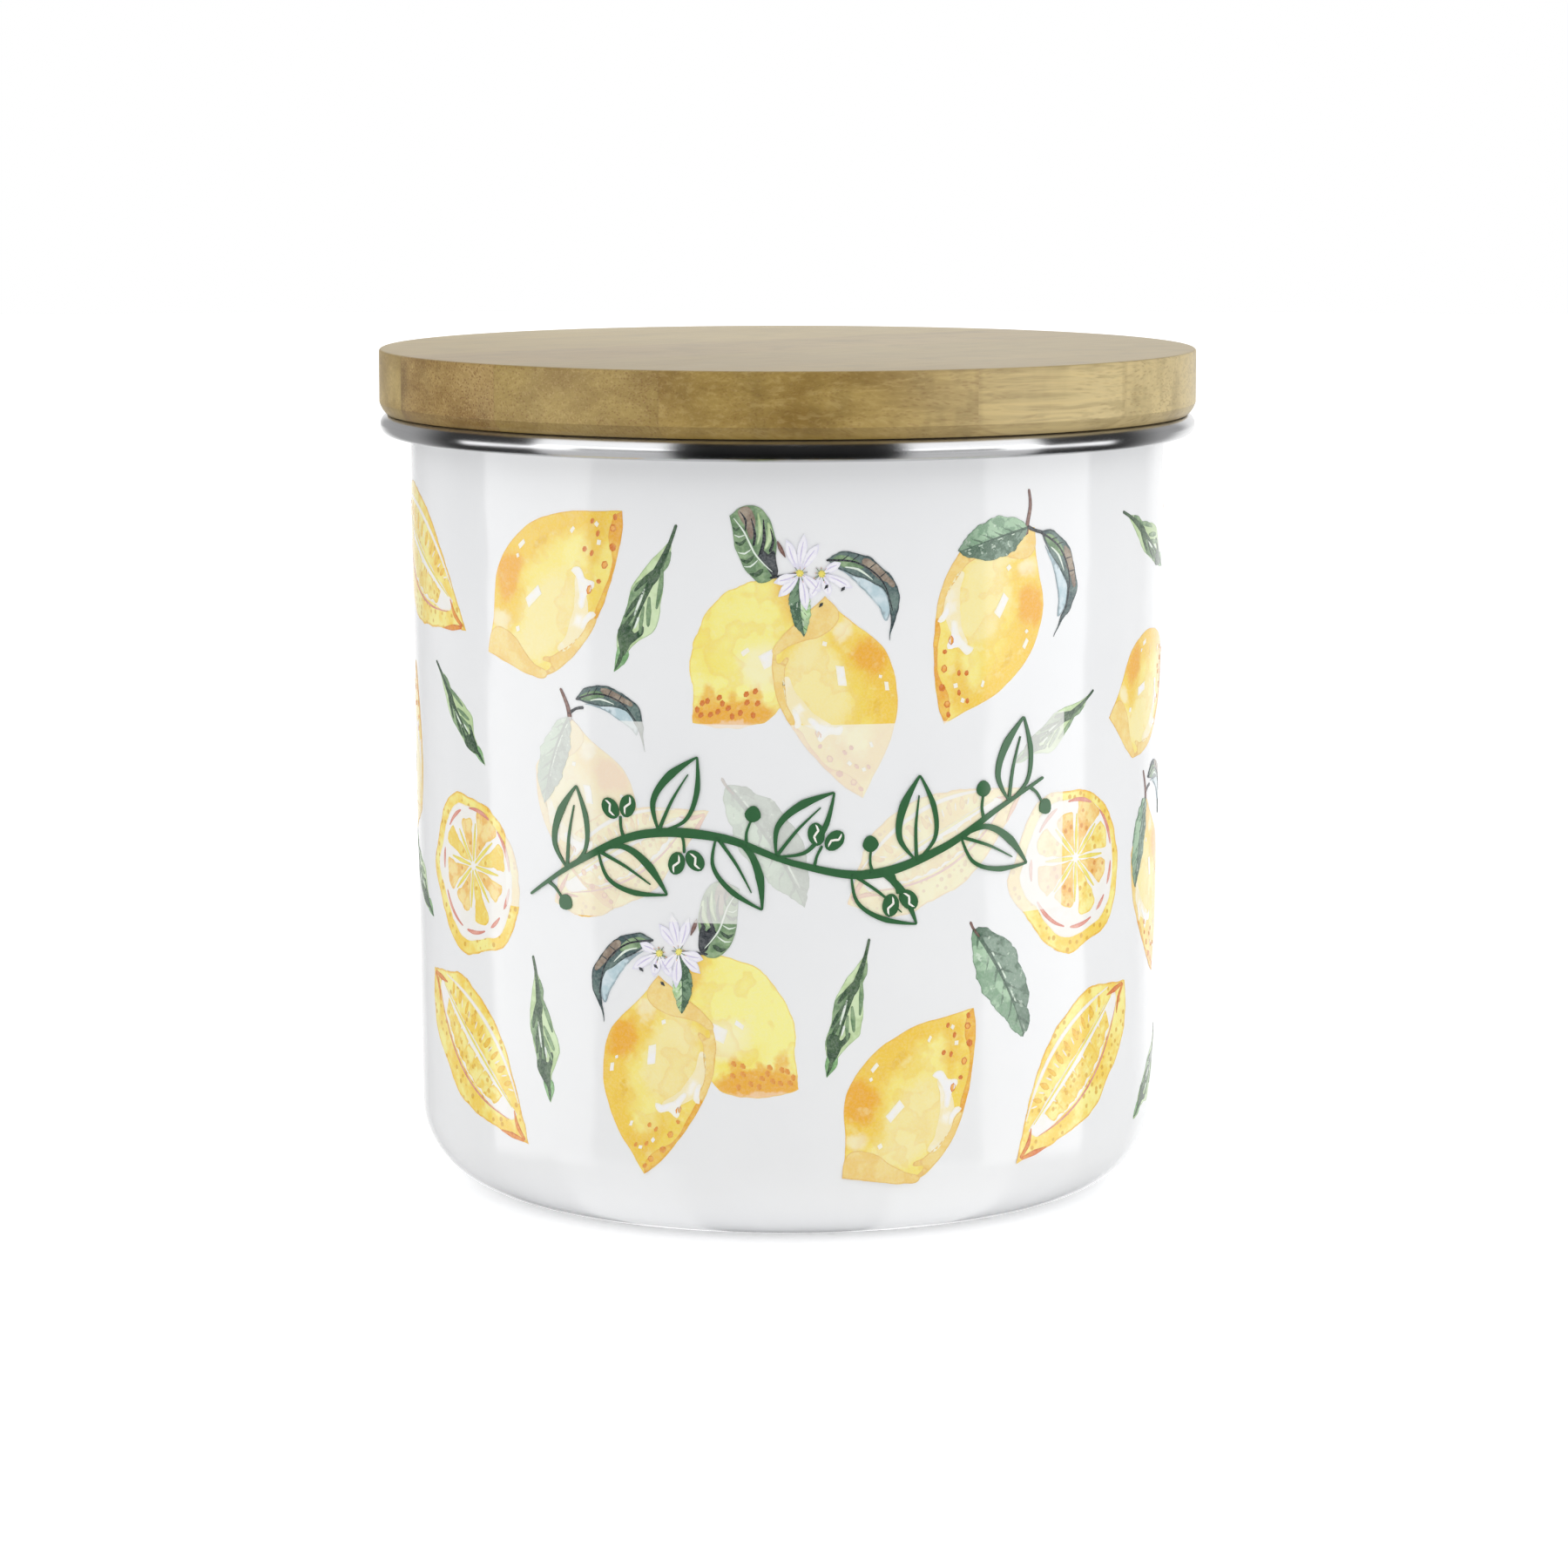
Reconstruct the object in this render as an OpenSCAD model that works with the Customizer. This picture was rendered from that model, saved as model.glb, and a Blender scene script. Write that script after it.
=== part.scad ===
// Kitchen storage canister: an enamelled, drawn steel pot with a rolled steel band round its lip, and
// a lid board of edge-glued bamboo strips whose plug carries a finned silicone seal ring.
// Millimetres, +Z up. The origin is the centre of the base, on the surface that the canister stands on.

/* [Canister body] */
// Height of the canister alone, from its foot to the top of the rim band
body_h = 109.2; // [80:0.1:140]
// Outer radius of the wall, just under the rim band
wall_r = 53.2; // [48:0.1:60]
// Draft of the wall, in degrees from upright
wall_draft = 0.59; // [0:0.01:1.5]
// Thickness of the enamelled sheet
sheet_t = 1.0; // [0.7:0.1:1.2]
// Radius of the rounded edge between wall and base
corner_r = 11.7; // [6:0.1:15]
// Radius of the bend from the wall to the lip, on the mouth side
bend_r = 2.0; // [1.6:0.1:2.2]
// Width of the flat ring that the canister stands on
foot_w = 2.4; // [1.5:0.1:5]
// Height by which the middle of the base is pressed up
panel_h = 1.1; // [0.4:0.1:3]

/* [Rim band] */
// Outer radius of the bead
band_r = 57.4; // [57:0.1:58]
// Height of the bead
band_h = 2.9; // [2.8:0.1:3.2]
// Thickness of the band's sheet
band_t = 0.4; // [0.3:0.05:0.45]
// Clear space between the wall and the leg that is crimped under the lip
band_wall_gap = 1.2; // [1.1:0.1:2]

/* [Lid board] */
// Radius of the lid
lid_r = 57.5; // [57:0.1:60]
// Thickness of the lid board
lid_h = 9.0; // [6:0.1:14]
// Clear space between the lid board and the rim band
lid_gap = 0.1; // [0.05:0.05:0.5]
// Radius that takes the sharpness off the top edge
arris_r = 0.4; // [0.2:0.1:1]
// Height of the rounding under the lid's edge
under_h = 1.6; // [0.8:0.1:2]
// Inward reach of that rounding
under_in = 0.95; // [0.5:0.05:1.2]
// Radius of that rounding, whose upper end meets the side in a crisp line
under_r = 3.5; // [2.5:0.1:6]
// Width of one bamboo strip
strip_w = 24; // [22:0.5:24.5]
// Place of the glue line nearest the axis, measured across the strips
strip_shift = -8; // [-8:0.5:-4]
// Direction of the strips, in degrees from +X
grain_angle = 39; // [0:1:180]

/* [Plug and seal] */
// Radius of the plug under the lid
plug_r = 50; // [44:0.1:50.5]
// Height of the plug
plug_h = 8; // [7:0.1:14]
// Chamfer round the plug's lower edge
plug_chamfer = 0.8; // [0.2:0.1:1]
// Depth of the seal groove
groove_d = 2.6; // [1.5:0.1:4]
// Height of the seal groove
groove_h = 3.8; // [3.2:0.1:4.4]
// Height of the groove's lower side above the plug's lower face
groove_lift = 1.2; // [1:0.1:2]
// Clear space between the seal ring and the groove
seal_fit = 0.06; // [0.04:0.01:0.1]
// Amount by which the seal ring's back stands out of the groove
seal_proud = 0.4; // [0.2:0.1:0.8]
// Clear space between the fins and the canister's wall
fin_clear = 0.15; // [0.1:0.01:0.3]
// Thickness of a fin at its root
fin_root_t = 1.0; // [0.6:0.1:1.2]
// Thickness of a fin at its tip
fin_tip_t = 0.5; // [0.3:0.1:0.6]
// Height by which a fin's tip stands above its root
fin_rise = 0.6; // [0:0.1:0.8]

/* [Hidden] */
$fn = 180;
strip_count = 6;

enamel_colour = [0.95, 0.95, 0.96];
steel_colour = [0.72, 0.73, 0.74];
bamboo_colour = [0.78, 0.66, 0.45];
plug_colour = [0.72, 0.59, 0.38];
silicone_colour = [0.88, 0.89, 0.88];

// Small clear space between the band and the lip inside it
crimp_gap = 0.03;
// Reach of a cutting shape past what it cuts
over = 1;

// Largest angle between two points of an arc, in degrees
arc_step = 6;

// Points of an arc about centre c, from angle a to angle b
function arc(c, r, a, b) =
    let (steps = ceil(abs(b - a) / arc_step))
    [for (i = [0 : steps]) c + r * [cos(a + (b - a) * i / steps), sin(a + (b - a) * i / steps)]];

// Rim: the bead's centre, and the lip that fills it
bead_r = band_h / 2;
bead_c = [band_r - bead_r, body_h - bead_r];
curl_r = bead_r - band_t - crimp_gap;
lip_z = bead_c.y + curl_r;
bend_z = lip_z - bend_r;
under_band_z = body_h - band_h;

// Outer radius of the wall at height z
function wall_r_at(z) = wall_r - (under_band_z - z) * tan(wall_draft);
// Inner radius of the wall at height z
function bore_r_at(z) = wall_r_at(z) - sheet_t / cos(wall_draft);

bend_c = [bore_r_at(bend_z) + bend_r, bend_z];
corner_c = [wall_r_at(corner_r) - corner_r / cos(wall_draft), corner_r];
panel_r = corner_c.x - foot_w;
// Extra width of the raised panel's upper side, which keeps its sloped edge one sheet thick
panel_step = sheet_t * tan(22.5);

// Lid
lid_z = body_h + lid_gap;
arris_c = [lid_r - arris_r, lid_z + lid_h - arris_r];
// Centre of the under-edge rounding: on the chord's midline, so that the arc passes both its ends
chord = norm([under_in, under_h]);
chord_to_c = sqrt(under_r * under_r - chord * chord / 4);
under_c = [
    lid_r - under_in / 2 - chord_to_c * under_h / chord,
    lid_z + under_h / 2 + chord_to_c * under_in / chord
];
under_low = atan2(lid_z - under_c.y, lid_r - under_in - under_c.x);
under_high = atan2(lid_z + under_h - under_c.y, lid_r - under_c.x);
// Place of glue line i, measured across the strips; the outermost ones lie past the lid's edge
function glue_line(i) =
    i <= 0 ? -lid_r - over :
    i >= strip_count ? lid_r + over :
    strip_shift + (i - strip_count / 2) * strip_w;

// Plug and seal
plug_z = lid_z - plug_h;
groove_r = plug_r - groove_d;
groove_z = plug_z + groove_lift;
back_r = plug_r + seal_proud;
fin_count = 2;
fin_pitch = groove_h / fin_count;

// Drawn steel pot, enamelled white inside and out: base, wall, and a lip that ends in a closed curl
module canister_body() {
    color(enamel_colour) rotate_extrude() polygon(concat(
        [[0, panel_h], [panel_r - panel_h, panel_h], [panel_r, 0]],
        arc(corner_c, corner_r, -90, -wall_draft),
        arc(bend_c, bend_r - sheet_t, 180, 90),
        arc(bead_c, curl_r, 180, 450),
        arc(bend_c, bend_r, 90, 180),
        arc(corner_c, corner_r - sheet_t, -wall_draft, -90),
        [
            [panel_r + panel_step, sheet_t],
            [panel_r + panel_step - panel_h, sheet_t + panel_h],
            [0, sheet_t + panel_h]
        ]
    ));
}

// Polished steel sheet that is rolled over the lip and crimped under it
module rim_band() {
    under_leg_r = wall_r + band_wall_gap;
    color(steel_colour) rotate_extrude() polygon(concat(
        [[under_leg_r, under_band_z]],
        arc(bead_c, bead_r, -90, 90),
        [[bend_c.x, body_h], [bend_c.x, body_h - band_t]],
        arc(bead_c, bead_r - band_t, 90, -90),
        [[under_leg_r, under_band_z + band_t]]
    ));
}

// Whole lid board, before it is divided into strips
module lid_board() {
    rotate_extrude() polygon(concat(
        [[0, lid_z]],
        arc(under_c, under_r, under_low, under_high),
        arc(arris_c, arris_r, 0, 90),
        [[0, lid_z + lid_h]]
    ));
}

// One strip of the lid board, counted from 1 across the grain
module lid_strip(i) {
    low = glue_line(i - 1);
    high = glue_line(i);
    color(bamboo_colour) intersection() {
        lid_board();
        rotate([0, 0, grain_angle])
            translate([-lid_r - over, low, lid_z - over])
                cube([(lid_r + over) * 2, high - low, lid_h + over * 2]);
    }
}

// Disc glued under the lid board, with the seal groove turned in its side
module plug_disc() {
    color(plug_colour) rotate_extrude() polygon([
        [0, plug_z],
        [plug_r - plug_chamfer, plug_z],
        [plug_r, plug_z + plug_chamfer],
        [plug_r, groove_z],
        [groove_r, groove_z],
        [groove_r, groove_z + groove_h],
        [plug_r, groove_z + groove_h],
        [plug_r, lid_z],
        [0, lid_z]
    ]);
}

// Outline of one fin, counted from 0 upwards: it leans up from the ring's back to the wall
function fin(i) =
    let (
        root_z = groove_z + fin_pitch * (i + 0.5) - fin_root_t / 4,
        tip_z = root_z + fin_rise,
        tip_r = bore_r_at(tip_z) - fin_clear
    )
    [
        [back_r, root_z - fin_root_t / 2],
        [tip_r, tip_z - fin_tip_t / 2],
        [tip_r, tip_z + fin_tip_t / 2],
        [back_r, root_z + fin_root_t / 2]
    ];

// Silicone ring: a flat back that lies in the groove, and fins that reach for the wall
module seal_ring() {
    low = groove_z + seal_fit;
    high = groove_z + groove_h - seal_fit;
    color(silicone_colour) rotate_extrude() polygon(concat(
        [[groove_r + seal_fit, low], [back_r, low]],
        [for (i = [0 : fin_count - 1], p = fin(i)) p],
        [[back_r, high], [groove_r + seal_fit, high]]
    ));
}

canister_body();
rim_band();
for (i = [1 : strip_count]) {
    lid_strip(i);
}
plug_disc();
seal_ring();
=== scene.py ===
import math

import bmesh
import bpy
import numpy as np
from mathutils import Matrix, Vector, geometry, noise


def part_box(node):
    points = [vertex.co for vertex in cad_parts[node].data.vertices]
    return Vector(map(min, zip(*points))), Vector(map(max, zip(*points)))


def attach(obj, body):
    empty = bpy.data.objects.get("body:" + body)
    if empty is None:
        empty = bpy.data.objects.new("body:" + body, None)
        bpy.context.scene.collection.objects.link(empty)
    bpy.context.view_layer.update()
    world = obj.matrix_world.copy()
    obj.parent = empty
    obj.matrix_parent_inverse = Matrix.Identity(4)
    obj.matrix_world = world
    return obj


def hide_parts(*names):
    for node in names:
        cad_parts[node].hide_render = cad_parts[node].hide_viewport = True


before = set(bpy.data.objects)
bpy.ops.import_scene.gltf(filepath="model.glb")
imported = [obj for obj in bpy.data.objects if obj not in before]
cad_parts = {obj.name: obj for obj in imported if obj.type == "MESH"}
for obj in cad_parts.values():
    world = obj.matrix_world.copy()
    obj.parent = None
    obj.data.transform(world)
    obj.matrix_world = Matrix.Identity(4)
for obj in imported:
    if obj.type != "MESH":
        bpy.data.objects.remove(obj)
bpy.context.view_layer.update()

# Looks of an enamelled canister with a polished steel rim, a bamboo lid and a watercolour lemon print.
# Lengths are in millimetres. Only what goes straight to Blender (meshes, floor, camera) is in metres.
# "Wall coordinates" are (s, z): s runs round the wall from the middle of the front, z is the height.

MM = 0.001


# ---- sizes

def box_mm(node):
    """Lowest and highest corner of a CAD node, in millimetres, to a tenth"""
    low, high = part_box(node)
    return [round(v / MM, 1) for v in low], [round(v / MM, 1) for v in high]


LID_STRIPS = [name for name in sorted(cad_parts) if name.startswith("lid_strip_")]
band_low, band_high = box_mm("rim_band")
lid_low, lid_high = box_mm("lid_strip_4")
plug_low, plug_high = box_mm("plug_disc")

# Canister body: a drawn pot with a drafted wall, and a lip that ends in a closed curl
BODY_H = band_high[2]
WALL_R = 53.2
WALL_DRAFT = math.radians(0.59)
SHEET_T = 1.0
CORNER_R = 11.7
BEND_R = 2.0
FOOT_W = 2.4
PANEL_H = 1.1

# Rim band: sheet rolled over the lip and crimped under it
BAND_R = band_high[0]
BAND_H = round(band_high[2] - band_low[2], 1)
BAND_T = 0.4
BAND_WALL_GAP = 1.2
CRIMP_GAP = 0.03

# Lid board
LID_R = 57.5
LID_Z = lid_low[2]
LID_TOP = lid_high[2]
ARRIS_R = 0.4
UNDER_H = 1.6
UNDER_IN = 0.95
UNDER_R = 3.5
STRIP_W = 24.0
STRIP_SHIFT = -8.0
GRAIN_ANGLE = math.radians(39)

# Plug and seal
PLUG_R = plug_high[0]
PLUG_Z = plug_low[2]
PLUG_CHAMFER = 0.8
GROOVE_D = 2.6
GROOVE_H = 3.8
GROOVE_Z = PLUG_Z + 1.2
SEAL_FIT = 0.06
SEAL_PROUD = 0.4
FIN_COUNT = 2
FIN_CLEAR = 0.15
FIN_ROOT_T = 1.0
FIN_TIP_T = 0.5
FIN_RISE = 0.6

BEAD_R = BAND_H / 2
BEAD_C = (BAND_R - BEAD_R, BODY_H - BEAD_R)
CURL_R = BEAD_R - BAND_T - CRIMP_GAP
UNDER_BAND_Z = BODY_H - BAND_H
BEND_Z = BEAD_C[1] + CURL_R - BEND_R


def wall_r_at(z):
    """Outer radius of the wall at height z"""
    return WALL_R - (UNDER_BAND_Z - z) * math.tan(WALL_DRAFT)


def bore_r_at(z):
    """Inner radius of the wall at height z"""
    return wall_r_at(z) - SHEET_T / math.cos(WALL_DRAFT)


# ---- meshes of revolution

TURNS = 256
ARC_STEP = math.radians(6)
SHARP = math.radians(28)
# The rounding under the lid meets its side at a small angle, in a line that has to stay crisp
FINE_STEP = math.radians(5)
LID_SHARP = math.radians(8)


def arc(centre, radius, start, end, step=ARC_STEP):
    """Points of an arc from angle start to angle end, in degrees"""
    start, end = math.radians(start), math.radians(end)
    steps = max(1, math.ceil(abs(end - start) / step))
    angles = [start + (end - start) * i / steps for i in range(steps + 1)]
    return [(centre[0] + radius * math.cos(a), centre[1] + radius * math.sin(a)) for a in angles]


def new_object(name, mesh):
    piece = bpy.data.objects.new(name, mesh)
    bpy.context.scene.collection.objects.link(piece)
    return piece


def finish_mesh(mesh, sharp=SHARP):
    """Smooth shading, with edges kept sharp where the surface turns"""
    mesh.validate()
    mesh.shade_smooth()
    mesh.set_sharp_from_angle(angle=sharp)


def lathe(profile):
    """Closed shell turned about Z from a closed profile of (r, z) points, anticlockwise, as a bmesh"""
    shell = bmesh.new()
    rings = []
    for r, z in profile:
        if r < 1e-6:
            rings.append([shell.verts.new((0, 0, z * MM))])
            continue
        turn = [2 * math.pi * i / TURNS for i in range(TURNS)]
        rings.append([shell.verts.new((r * MM * math.cos(a), r * MM * math.sin(a), z * MM)) for a in turn])
    for low, high in zip(rings, rings[1:] + rings[:1]):
        for i in range(TURNS):
            j = (i + 1) % TURNS
            corners = [low[i % len(low)], low[j % len(low)], high[j % len(high)], high[i % len(high)]]
            distinct = list(dict.fromkeys(corners))
            if len(distinct) > 2:
                shell.faces.new(distinct)
    return shell


def piece_from(name, shell, paint, body, nodes, sharp=SHARP):
    """Turns a bmesh into a piece that stands for CAD nodes and rides on their body"""
    mesh = bpy.data.meshes.new(name)
    shell.to_mesh(mesh)
    shell.free()
    finish_mesh(mesh, sharp)
    mesh.materials.append(paint)
    piece = new_object(name, mesh)
    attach(piece, body)
    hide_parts(*nodes)
    return piece


def canister_profile():
    bend_c = (bore_r_at(BEND_Z) + BEND_R, BEND_Z)
    corner_c = (wall_r_at(CORNER_R) - CORNER_R / math.cos(WALL_DRAFT), CORNER_R)
    panel_r = corner_c[0] - FOOT_W
    panel_step = SHEET_T * math.tan(math.radians(22.5))
    draft = math.degrees(WALL_DRAFT)
    rows = 24
    outside = arc(corner_c, CORNER_R, -90, -draft)
    lip = arc(bend_c, BEND_R - SHEET_T, 180, 90)
    foot, top = outside[-1], lip[0]
    wall = [(foot[0] + (top[0] - foot[0]) * i / rows, foot[1] + (top[1] - foot[1]) * i / rows)
            for i in range(1, rows)]
    return (
        [(0, PANEL_H), (panel_r - PANEL_H, PANEL_H), (panel_r, 0)]
        + outside + wall + lip
        + arc(BEAD_C, CURL_R, 180, 450)[:-1]
        + arc(bend_c, BEND_R, 90, 180)
        + arc(corner_c, CORNER_R - SHEET_T, -draft, -90)
        + [(panel_r + panel_step, SHEET_T), (panel_r + panel_step - PANEL_H, SHEET_T + PANEL_H),
           (0, SHEET_T + PANEL_H)]
    )


def band_profile():
    leg_r = WALL_R + BAND_WALL_GAP
    bend_x = bore_r_at(BEND_Z) + BEND_R
    return (
        [(leg_r, UNDER_BAND_Z)]
        + arc(BEAD_C, BEAD_R, -90, 90)
        + [(bend_x, BODY_H), (bend_x, BODY_H - BAND_T)]
        + arc(BEAD_C, BEAD_R - BAND_T, 90, -90)
        + [(leg_r, UNDER_BAND_Z + BAND_T)]
    )


def lid_profile():
    chord = math.hypot(UNDER_IN, UNDER_H)
    to_centre = math.sqrt(UNDER_R ** 2 - chord ** 2 / 4)
    centre = (LID_R - UNDER_IN / 2 - to_centre * UNDER_H / chord,
              LID_Z + UNDER_H / 2 + to_centre * UNDER_IN / chord)
    low = math.degrees(math.atan2(LID_Z - centre[1], LID_R - UNDER_IN - centre[0]))
    high = math.degrees(math.atan2(LID_Z + UNDER_H - centre[1], LID_R - centre[0]))
    arris = arc((LID_R - ARRIS_R, LID_TOP - ARRIS_R), ARRIS_R, 0, 90, FINE_STEP)
    return [(0, LID_Z)] + arc(centre, UNDER_R, low, high, FINE_STEP) + arris + [(0, LID_TOP)]


def plug_profile():
    groove_r = PLUG_R - GROOVE_D
    return [
        (0, PLUG_Z), (PLUG_R - PLUG_CHAMFER, PLUG_Z), (PLUG_R, PLUG_Z + PLUG_CHAMFER), (PLUG_R, GROOVE_Z),
        (groove_r, GROOVE_Z), (groove_r, GROOVE_Z + GROOVE_H), (PLUG_R, GROOVE_Z + GROOVE_H),
        (PLUG_R, LID_Z), (0, LID_Z),
    ]


def seal_profile():
    back_r = PLUG_R + SEAL_PROUD
    groove_r = PLUG_R - GROOVE_D
    low, high = GROOVE_Z + SEAL_FIT, GROOVE_Z + GROOVE_H - SEAL_FIT
    profile = [(groove_r + SEAL_FIT, low), (back_r, low)]
    for i in range(FIN_COUNT):
        root_z = GROOVE_Z + GROOVE_H / FIN_COUNT * (i + 0.5) - FIN_ROOT_T / 4
        tip_z = root_z + FIN_RISE
        tip_c = (bore_r_at(tip_z) - FIN_CLEAR - FIN_TIP_T / 2, tip_z)
        profile += [(back_r, root_z - FIN_ROOT_T / 2)]
        profile += arc(tip_c, FIN_TIP_T / 2, -90, 90, math.radians(30))
        profile += [(back_r, root_z + FIN_ROOT_T / 2)]
    return profile + [(back_r, high), (groove_r + SEAL_FIT, high)]


def glue_line(i):
    """Place of glue line i across the grain. The outermost ones lie past the lid's edge"""
    count = len(LID_STRIPS)
    if i <= 0:
        return -2 * LID_R
    if i >= count:
        return 2 * LID_R
    return STRIP_SHIFT + (i - count / 2) * STRIP_W


def lid_strip_shell(i):
    """Strip i of the lid board, counted from 1, cut from the whole board between two glue lines"""
    across = Vector((-math.sin(GRAIN_ANGLE), math.cos(GRAIN_ANGLE), 0))
    shell = lathe(lid_profile())
    for side, place in ((-1, glue_line(i - 1)), (1, glue_line(i))):
        if abs(place) > LID_R:
            continue
        cut = bmesh.ops.bisect_plane(
            shell, geom=shell.verts[:] + shell.edges[:] + shell.faces[:], dist=1e-7,
            plane_co=across * place * MM, plane_no=across * side, clear_outer=True)
        edges = [e for e in cut["geom_cut"] if isinstance(e, bmesh.types.BMEdge)]
        bmesh.ops.edgenet_fill(shell, edges=edges)
    bmesh.ops.recalc_face_normals(shell, faces=shell.faces[:])
    return shell


# ---- materials

def linear(r, g, b):
    """Linear colour of an sRGB colour given from 0 to 255"""
    def channel(v):
        v /= 255
        return v / 12.92 if v <= 0.04045 else ((v + 0.055) / 1.055) ** 2.4
    return channel(r), channel(g), channel(b), 1.0


class Nodes:
    """Adds shader nodes to one tree and keeps the code for them short"""

    def __init__(self, tree):
        self.tree = tree

    def put(self, socket, value):
        if isinstance(value, bpy.types.NodeSocket):
            self.tree.links.new(value, socket)
        elif value is not None:
            socket.default_value = value

    def node(self, kind, *values, **settings):
        """A node with these settings, whose first inputs get these values"""
        made = self.tree.nodes.new("ShaderNode" + kind)
        for key, value in settings.items():
            setattr(made, key, value)
        for socket, value in zip(made.inputs, values):
            self.put(socket, value)
        return made

    def math(self, operation, a, b=None):
        return self.node("Math", a, b, operation=operation).outputs[0]

    def add(self, a, b):
        return self.math("ADD", a, b)

    def times(self, a, b):
        return self.math("MULTIPLY", a, b)

    def vector(self, operation, a, b=None):
        made = self.node("VectorMath", a, b, operation=operation)
        return made.outputs["Value" if operation in ("LENGTH", "DOT_PRODUCT") else "Vector"]

    def step(self, value, low, high, to_low=0, to_high=1):
        """Smooth step of a value from low to high"""
        made = self.node("MapRange", interpolation_type="SMOOTHSTEP")
        for name, number in (("Value", value), ("From Min", low), ("From Max", high),
                             ("To Min", to_low), ("To Max", to_high)):
            self.put(made.inputs[name], number)
        return made.outputs[0]

    def mix(self, factor, a, b):
        made = self.node("Mix", data_type="RGBA")
        self.put(made.inputs["Factor"], factor)
        self.put(made.inputs[6], a)
        self.put(made.inputs[7], b)
        return made.outputs[2]

    def over(self, colour, mask, tint):
        """An sRGB tint laid over a colour, where the mask is 1"""
        return self.mix(mask, colour, linear(*tint))

    def scaled(self, vector, x, y, z):
        return self.vector("MULTIPLY", vector, (x, y, z))

    def place(self):
        """Position in the object's own frame, in millimetres"""
        return self.scaled(self.node("TexCoord").outputs["Object"], 1 / MM, 1 / MM, 1 / MM)

    def attribute(self, name):
        return self.node("Attribute", attribute_name=name)

    def split(self, vector):
        return self.node("SeparateXYZ", vector).outputs

    def join(self, x, y, z):
        return self.node("CombineXYZ", x, y, z).outputs[0]

    def noise(self, vector, scale, detail=2, roughness=0.5, colour=False):
        made = self.node("TexNoise")
        self.put(made.inputs["Vector"], vector)
        for name, value in (("Scale", scale), ("Detail", detail), ("Roughness", roughness)):
            made.inputs[name].default_value = value
        return made.outputs["Color" if colour else "Fac"]

    def cells(self, vector, scale):
        made = self.node("TexVoronoi")
        self.put(made.inputs["Vector"], vector)
        made.inputs["Scale"].default_value = scale
        return made.outputs

    def bump(self, height, distance, strength=1, normal=None):
        """Normal of a height that varies from 0 to 1, over a distance in millimetres"""
        made = self.node("Bump")
        made.inputs["Strength"].default_value = strength
        made.inputs["Distance"].default_value = distance * MM
        self.put(made.inputs["Height"], height)
        self.put(made.inputs["Normal"], normal)
        return made.outputs[0]


class Paint(Nodes):
    """One material. An underscore in a socket's name stands for a space"""

    def __init__(self, name, **constants):
        self.material = bpy.data.materials.new(name)
        self.material.use_nodes = True
        super().__init__(self.material.node_tree)
        self.shader = self.tree.nodes["Principled BSDF"]
        self.done(**constants)

    def done(self, **sockets):
        for name, value in sockets.items():
            self.put(self.shader.inputs[name.replace("_", " ")], value)
        return self.material


GLAZE_ROUGHNESS = 0.09


def enamel():
    """Fired white enamel: glassy, with a slow ripple, a few pinholes and a worn foot ring"""
    paint = Paint("enamel_white", IOR=1.5)
    place = paint.place()
    height = paint.split(place)[2]
    cloud = paint.noise(place, 0.05, 3)
    colour = paint.mix(cloud, linear(240, 241, 243), linear(246, 247, 248))
    specks = paint.cells(place, 0.075)
    pinhole = paint.step(specks["Distance"], 0.011, 0.006)
    rare = paint.step(paint.split(specks["Color"])[0], 0.78, 0.8)
    colour = paint.over(colour, paint.times(pinhole, rare), (120, 122, 126))
    scuffs = paint.step(paint.noise(place, 0.9, 4, 0.65), 0.48, 0.62)
    contact = paint.step(height, 0.5, 0.05)
    wear = paint.times(contact, scuffs)
    colour = paint.over(colour, paint.times(wear, 0.7), (168, 168, 168))
    ripple = paint.bump(paint.noise(place, 0.06, 2), 0.9, 0.3)
    return paint.done(
        Base_Color=colour,
        Roughness=paint.add(paint.times(wear, 0.35), GLAZE_ROUGHNESS),
        Normal=paint.bump(paint.noise(place, 0.7, 1), 0.01, 0.3, ripple),
    )


def steel():
    """Polished stainless steel. Fine lines run round the rim and smear its reflections across them"""
    paint = Paint("polished_steel", Metallic=1, Anisotropic=0.9, Anisotropic_Rotation=0.25)
    place = paint.place()
    x, y, z = paint.split(place)
    radius = paint.vector("LENGTH", paint.scaled(place, 1, 1, 0))
    turned = paint.join(paint.times(x, 0.04), paint.times(y, 0.04), paint.times(paint.add(radius, z), 5))
    lines = paint.noise(turned, 1, 4, 0.7)
    smears = paint.noise(place, 0.12, 3, 0.6)
    colour = paint.mix(lines, linear(196, 197, 199), linear(222, 222, 223))
    rough = paint.add(paint.add(paint.times(lines, 0.04), paint.times(smears, 0.08)), 0.15)
    around = paint.node("Tangent", direction_type="RADIAL", axis="Z").outputs[0]
    return paint.done(Base_Color=colour, Roughness=rough, Tangent=around)


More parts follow.
